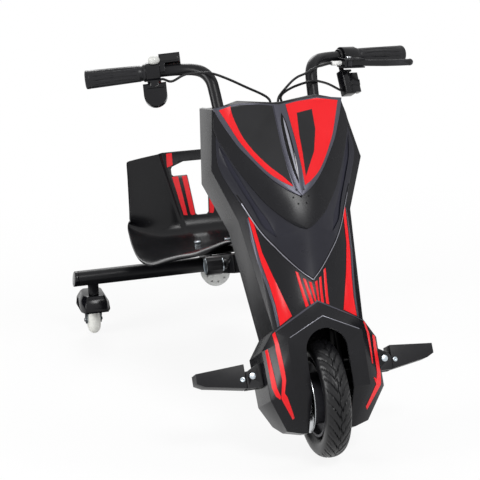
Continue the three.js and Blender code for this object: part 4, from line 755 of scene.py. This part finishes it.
# Controls on the bar: a thumb throttle with the battery display, a lever bracket and a button
# pod, all moulded and clamped round the tube, and a cast lever on a steel pivot.
# Glossy ABS of the small housings: wet-looking, so each bevel draws a bright line.
gloss_housing = finish("abs_gloss_black_housing", ("#0b0b0e", "#111115"), 0.16, 1.0, 0.006,
                       gleam=0.27)
for node in ("throttle_clamp", "display_unit", "throttle_paddle", "brake_bracket", "pod_body"):
    eased(node, gloss_housing, 3.0, 4, 4)
eased("pod_plate", gloss_housing, 1.4, 3, 3)
# Paint over a casting: glossy, with a slight sag and wear on the edges.
lever_black = finish("cast_lever_black_paint", ("#101012", "#161619"), 0.22, 0.9, 0.015,
                     gleam=0.3, worn="#34343a")
eased("brake_lever", lever_black, 1.6, 4, 3)
eased("lever_pivot", bright_steel, 0.4, 2)
# Natural nylon: milky white and slightly waxy.
white_nylon = finish("nylon_white_moulded", ("#ececea", "#f7f7f5"), 0.34, 0.6, 0.01)
eased("barrel_adjuster", white_nylon, 0.6, 2)


# Foot pegs: moulded glass-filled nylon, each folding on a zinc bolt through a clevis that is
# pushed over a stub of the fork. The seat's two bolts are of the same zinc.
# Glass-filled nylon: a coarse spark grain, rubbed grey along its edges by shoes.
peg_black = finish("glass_filled_nylon_black", ("#131315", "#1a1a1d"), 0.42, 0.9, 0.06, kind="pebble",
                   worn="#3c3c3f")
for node in ("peg_clevis_right", "peg_clevis_left", "peg_right", "peg_left"):
    eased(node, peg_black, 1.5, 5, 3)
for node in ("peg_bolt_right", "peg_bolt_left", "seat_bolt_right", "seat_bolt_left"):
    eased(node, zinc, 0.5, 2)


# The casters: pressed zinc-plated forks whose pins turn in the cross tube's sockets, under dark
# moulded hoods, with off-white polyurethane wheels. Moulded caps plug the cross tube's ends.
# Cast polyurethane: milky, with a skin dulled by the floor.
wheel_white = finish("polyurethane_offwhite", ("#dfdfd9", "#ededE8"), 0.38, 0.8, 0.02)
for kind, material, *easing in (
        ("caster_hood", gloss_housing, 2.0, 5, 3), ("end_cap", gloss_housing, 1.5, 2, 3),
        ("caster_fork", zinc, 0.6, 4), ("caster_axle", bright_steel, 0.4, 2),
        ("caster_wheel", wheel_white, 4.5, 1.5, 5, 20)):
    for side in ("right", "left"):
        eased(f"{kind}_{side}", material, *easing)


# Clamp knob and horn: a ribbed moulded knob on the screw that locks the sliding beam, and a
# pressed steel horn in pale paint, strapped to the tube.
eased("clamp_knob", satin_black, 0.8, 3)
# Stove enamel on pressed steel: pale, a little uneven.
horn_grey = finish("horn_pale_grey_paint", ("#c9cac8", "#d9dad8"), 0.35, 0.7, 0.02)
horn = eased("horn", horn_grey, 2.0, 2, 3)
horn_x, horn_face, horn_z = 0.014, 0.3976, 0.110
holes, hole_ring = 9, 0.023
for k in range(holes):
    turn = k * math.tau / holes
    bpy.ops.object.select_all(action="DESELECT")
    bpy.ops.mesh.primitive_cylinder_add(
        vertices=20, radius=0.0024, depth=0.008, rotation=(math.pi / 2, 0, 0),
        location=(horn_x + hole_ring * math.cos(turn), horn_face, horn_z + hole_ring * math.sin(turn)))
    drill = bpy.context.object
    apply(horn, "BOOLEAN", operation="DIFFERENCE", object=drill, solver="EXACT")
    bpy.data.objects.remove(drill)


# The seat: one blow-moulded polyethylene bucket with a grab slot, bolted down through its pan
# to a steel bracket. Red foil stripes are printed on its back.
seat_nose, seat_low = 0.614 + axle_y, 0.193
seat_half_width, seat_length, seat_height = 0.19, 0.285, 0.183
wing_reach, swell_reach, rim_lift, hump_height = 0.064, 0.008, 0.042, 0.024
# Each row across it, in shares of those sizes: its place back, its height, its half width, then
# how far its rims lift, its wings come forward and its middle humps up.
seat_rows = [
    (0, 0.09, 0.884, -0.25, 0, 1), (0.039, 0.115, 0.937, -0.35, 0, 0.95),
    (0.126, 0.09, 0.979, -0.25, 0, 0.5), (0.232, 0.055, 1, 0, 0, 0.12),
    (0.354, 0.027, 0.995, 0.3, 0, 0),
    (0.47, 0, 0.984, 0.55, 0, 0), (0.582, 0.003, 0.968, 0.78, 0.03, 0),
    (0.677, 0.016, 0.958, 0.92, 0.1, 0), (0.744, 0.055, 0.947, 0.93, 0.3, 0),
    (0.782, 0.104, 0.942, 0.8, 0.5, 0), (0.81, 0.18, 0.937, 0.55, 0.72, 0),
    (0.828, 0.268, 0.934, 0.3, 0.88, 0), (0.856, 0.4, 0.926, 0.12, 0.97, 0),
    (0.902, 0.59, 0.916, 0.03, 1, 0), (0.947, 0.765, 0.9, 0, 0.97, 0),
    (0.989, 0.94, 0.886, 0, 0.9, 0),
    (1, 1, 0.884, 0, 0.87, 0)]
seat_half = [0, 0.14, 0.25, 0.32, 0.35, 0.375, 0.4, 0.43, 0.5, 0.58, 0.66, 0.73, 0.8, 0.88, 0.95, 1]
seat_across = [-u for u in reversed(seat_half[1:])] + seat_half
# The side bolsters rise between these two shares of the half width.
foot_at, crest_at = 0.35, 0.4
spots, cells = [], []
for y, z, half, rise, wing, hump in seat_rows:
    # The bolster's foot leans outward up the back, beside the stripes.
    foot = 0.215 + 0.25 * z
    for share in seat_across:
        far = abs(share)
        u = (far / foot_at * foot if far < foot_at else foot + (far - foot_at) if far < crest_at
             else foot + 0.05 + (far - crest_at) / 0.6 * (0.95 - foot))
        out = max((u - 0.45) / 0.55, 0) ** 1.3
        lift = max((u - 0.52) / 0.48, 0) ** 1.6
        swell = max(1 - u / 0.42, 0)
        bolster = wing * min(max(far - foot_at, 0) / 0.05, 1) * (1 - max(far - 0.55, 0) / 0.45)
        spots.append((math.copysign(u, share) * half * seat_half_width,
                      seat_nose + y * seat_length - wing * wing_reach * out - bolster * swell_reach,
                      seat_low + z * seat_height + rise * rim_lift * lift + hump * hump_height * swell))
wide = len(seat_across)
for i in range(len(seat_rows) - 1):
    for j in range(wide - 1):
        a = i * wide + j
        cells.append((a, a + 1, a + wide + 1, a + wide))
mesh = bpy.data.meshes.new("seat")
mesh.from_pydata(spots, [], cells)
seat = bpy.data.objects.new("seat_bucket", mesh)
bpy.context.collection.objects.link(seat)
apply(seat, "SUBSURF", levels=2, render_levels=2)
seat_front = bpy.data.objects.new("seat_front", seat.data.copy())
bpy.context.collection.objects.link(seat_front)
apply(seat, "SOLIDIFY", thickness=0.0045, offset=-1.0, use_even_offset=True)
slot_outline = [(-30, 353), (-57, 343.5), (-60, 339), (-60, 327), (-56, 323), (-24, 323), (-15.5, 239),
                (-11, 235), (11, 235), (15.5, 239), (24, 323), (56, 323), (60, 327), (60, 339),
                (57, 343.5), (30, 353)]
upright_back = Matrix.Translation((0, 0.3, 0))
block = prism(slot_outline, upright_back, 0.3)
apply(seat, "BOOLEAN", operation="DIFFERENCE", object=block, solver="EXACT")
bpy.data.objects.remove(block)
# Two bolt holes, a little wider than the bolts.
for x in (-0.035, 0.035):
    bpy.ops.object.select_all(action="DESELECT")
    bpy.ops.mesh.primitive_cylinder_add(vertices=32, radius=0.0053, depth=0.05,
                                        location=(x, 0.366315, seat_low))
    drill = bpy.context.object
    apply(seat, "BOOLEAN", operation="DIFFERENCE", object=drill, solver="EXACT")
    bpy.data.objects.remove(drill)
apply(seat, "BEVEL", width=0.002, segments=3, limit_method="ANGLE", angle_limit=math.radians(60),
      use_clamp_overlap=True)
soften(seat, 40)
# Blow-moulded polyethylene: waxy and glossy, with a pebbled mould skin.
seat_plastic = finish("polyethylene_blow_moulded_black", ("#0d0d0f", "#131316"), 0.24, 1.1, 0.012,
                      gleam=0.24, kind="pebble")
paint(seat, seat_plastic)
stand_in(seat, "seat_shell")
# Screen-printed foil: flat red that follows the skin below it.
seat_red = finish("red_foil_on_seat", ("#d81a24", "#e0232c"), 0.36, 1.2, 0.01, rough_spread=0.03)
inner_stripe = [(-25.5, 322), (-37, 322), (-28, 240), (-25, 236), (-17, 237)]
outer_stripe = [(-46, 322), (-60, 322), (-44, 238), (-35, 237)]
square = [(-55, 347.5), (-69, 343), (-67, 373), (-54, 373.5)]
for side, turn in (("right", list), ("left", mirrored)):
    for name, outline in (("inner", inner_stripe), ("outer", outer_stripe), ("square", square)):
        made = plate(f"seat_{name}_{side}", seat_front, turn(outline), upright_back, 0.5, seat_red)
        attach(made, "rear_frame")
bpy.data.objects.remove(seat_front)


# Small hardware: socket screws on the pegs and the brake disc, the display's window, the
# paddle's lip and the knob's zinc collar. Each is pressed or screwed into the piece under it.
def facing(place, outward, up=(0, 0, 1)):
    """A frame at a place in millimetres, whose third axis points outward."""
    z = Vector(outward).normalized()
    x = Vector(up).cross(z).normalized()
    turned = Matrix((x, z.cross(x), z)).transposed().to_4x4()
    return Matrix.Translation(Vector(place) / 1000) @ turned


def seated(piece, name, frame_at, material, body):
    """Puts a piece modelled at the origin in its place on a body."""
    piece.name = name
    only(piece)
    bpy.ops.object.transform_apply(location=True, rotation=True, scale=True)
    piece.data.transform(frame_at)
    soften(piece, 35)
    paint(piece, material)
    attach(piece, body)


def round_part(radius, height, sides=32, base=0.0):
    """A disc of these millimetres that stands on the origin."""
    bpy.ops.object.select_all(action="DESELECT")
    bpy.ops.mesh.primitive_cylinder_add(vertices=sides, radius=radius / 1000, depth=height / 1000,
                                        location=(0, 0, (base + height / 2) / 1000))
    return bpy.context.object


def socket_screw(name, frame_at, radius, height, material, body):
    """A low round head with a hexagon socket, its edge eased."""
    head = round_part(radius, height, 32, -0.3)
    well = round_part(radius * 0.5, height, 6, height * 0.35)
    apply(head, "BOOLEAN", operation="DIFFERENCE", object=well, solver="EXACT")
    bpy.data.objects.remove(well)
    apply(head, "BEVEL", width=radius / 6000, segments=2, limit_method="ANGLE", angle_limit=0.8)
    seated(head, name, frame_at, material, body)


def slab(width, height, thick, corner):
    """A flat plate of these millimetres with rounded corners, standing on the origin."""
    bpy.ops.object.select_all(action="DESELECT")
    bpy.ops.mesh.primitive_cube_add(size=1, location=(0, 0, thick / 2000))
    piece = bpy.context.object
    piece.scale = (width / 1000, height / 1000, thick / 1000)
    bpy.ops.object.transform_apply(location=True, rotation=True, scale=True)
    apply(piece, "BEVEL", width=corner / 1000, segments=3, limit_method="ANGLE", angle_limit=0.8)
    return piece


for side, turn in (("right", -1), ("left", 1)):
    socket_screw("peg_screw_" + side, facing((turn * 143, -388.3, 157.5), (turn * 0.13, -0.87, 0.47)),
                 4.4, 2.6, zinc, "foot_peg_" + side)
disc_screws, screw_ring = 6, 30
for k in range(disc_screws):
    turn = k * math.tau / disc_screws
    place = (-32.3, -397.7 + screw_ring * math.cos(turn), 108 + screw_ring * math.sin(turn))
    socket_screw(f"disc_screw_{k + 1}", facing(place, (-1, 0, 0)), 4.2, 3.0, bright_steel,
                 "front_wheel")
bar_up = (0.05, 0.47, 0.88)
# Smoked acrylic: near black, and the glossiest thing on the bar.
smoked = finish("acrylic_smoked", ("#060608", "#0a0a0d"), 0.1, 4.0, 0.004, rough_spread=0.03,
                gleam=0.4)
for name, sizes, place, turn, material, body in (
        ("display_window", (33, 11.5, 1.0, 0.45), (-165.3, -21.0, 677), -1, smoked, "front_module"),
        ("paddle_lip", (34, 2.6, 1.8, 0.8), (-196.6, -31.6, 624.2), -1, gloss_housing, "thumb_paddle"),
        ("pod_button", (20, 12, 1.2, 0.5), (200.7, -37.2, 602.6), 1, gloss_housing, "pod_switch")):
    seated(slab(*sizes), name, facing(place, (turn * 0.25, -0.85, 0.46), bar_up), material, body)
bpy.ops.mesh.primitive_uv_sphere_add(segments=32, ring_count=16, radius=0.0115)
dome = bpy.context.object
dome.scale = (1.0, 1.0, 0.75)
# Painted highlight: a pale dome by the display stands for the light caught on the display's end, the
# one pale, soft dot among the blacks.
pale_highlight = finish("pale_dome_painted_highlight", ("#cfd0cc", "#dededa"), 0.28, 2.0, 0.004, gleam=0.4)
seated(dome, "highlight_dome", facing((-193.5, -14, 672.5), bar_up), pale_highlight, "front_module")
knob_end = facing((-67.3, 163.0, 200.3), (-1, 0, 0))
rim = round_part(16.5, 1.0, 48)
well = round_part(14.5, 2.0, 48, 0.4)
apply(rim, "BOOLEAN", operation="DIFFERENCE", object=well, solver="EXACT")
bpy.data.objects.remove(well)
seated(rim, "knob_rim", knob_end, zinc, "knob")
seated(round_part(13.5, 3.0, 40), "knob_collar", facing((-33.3, 163.0, 200.3), (1, 0, 0)), zinc,
       "knob")
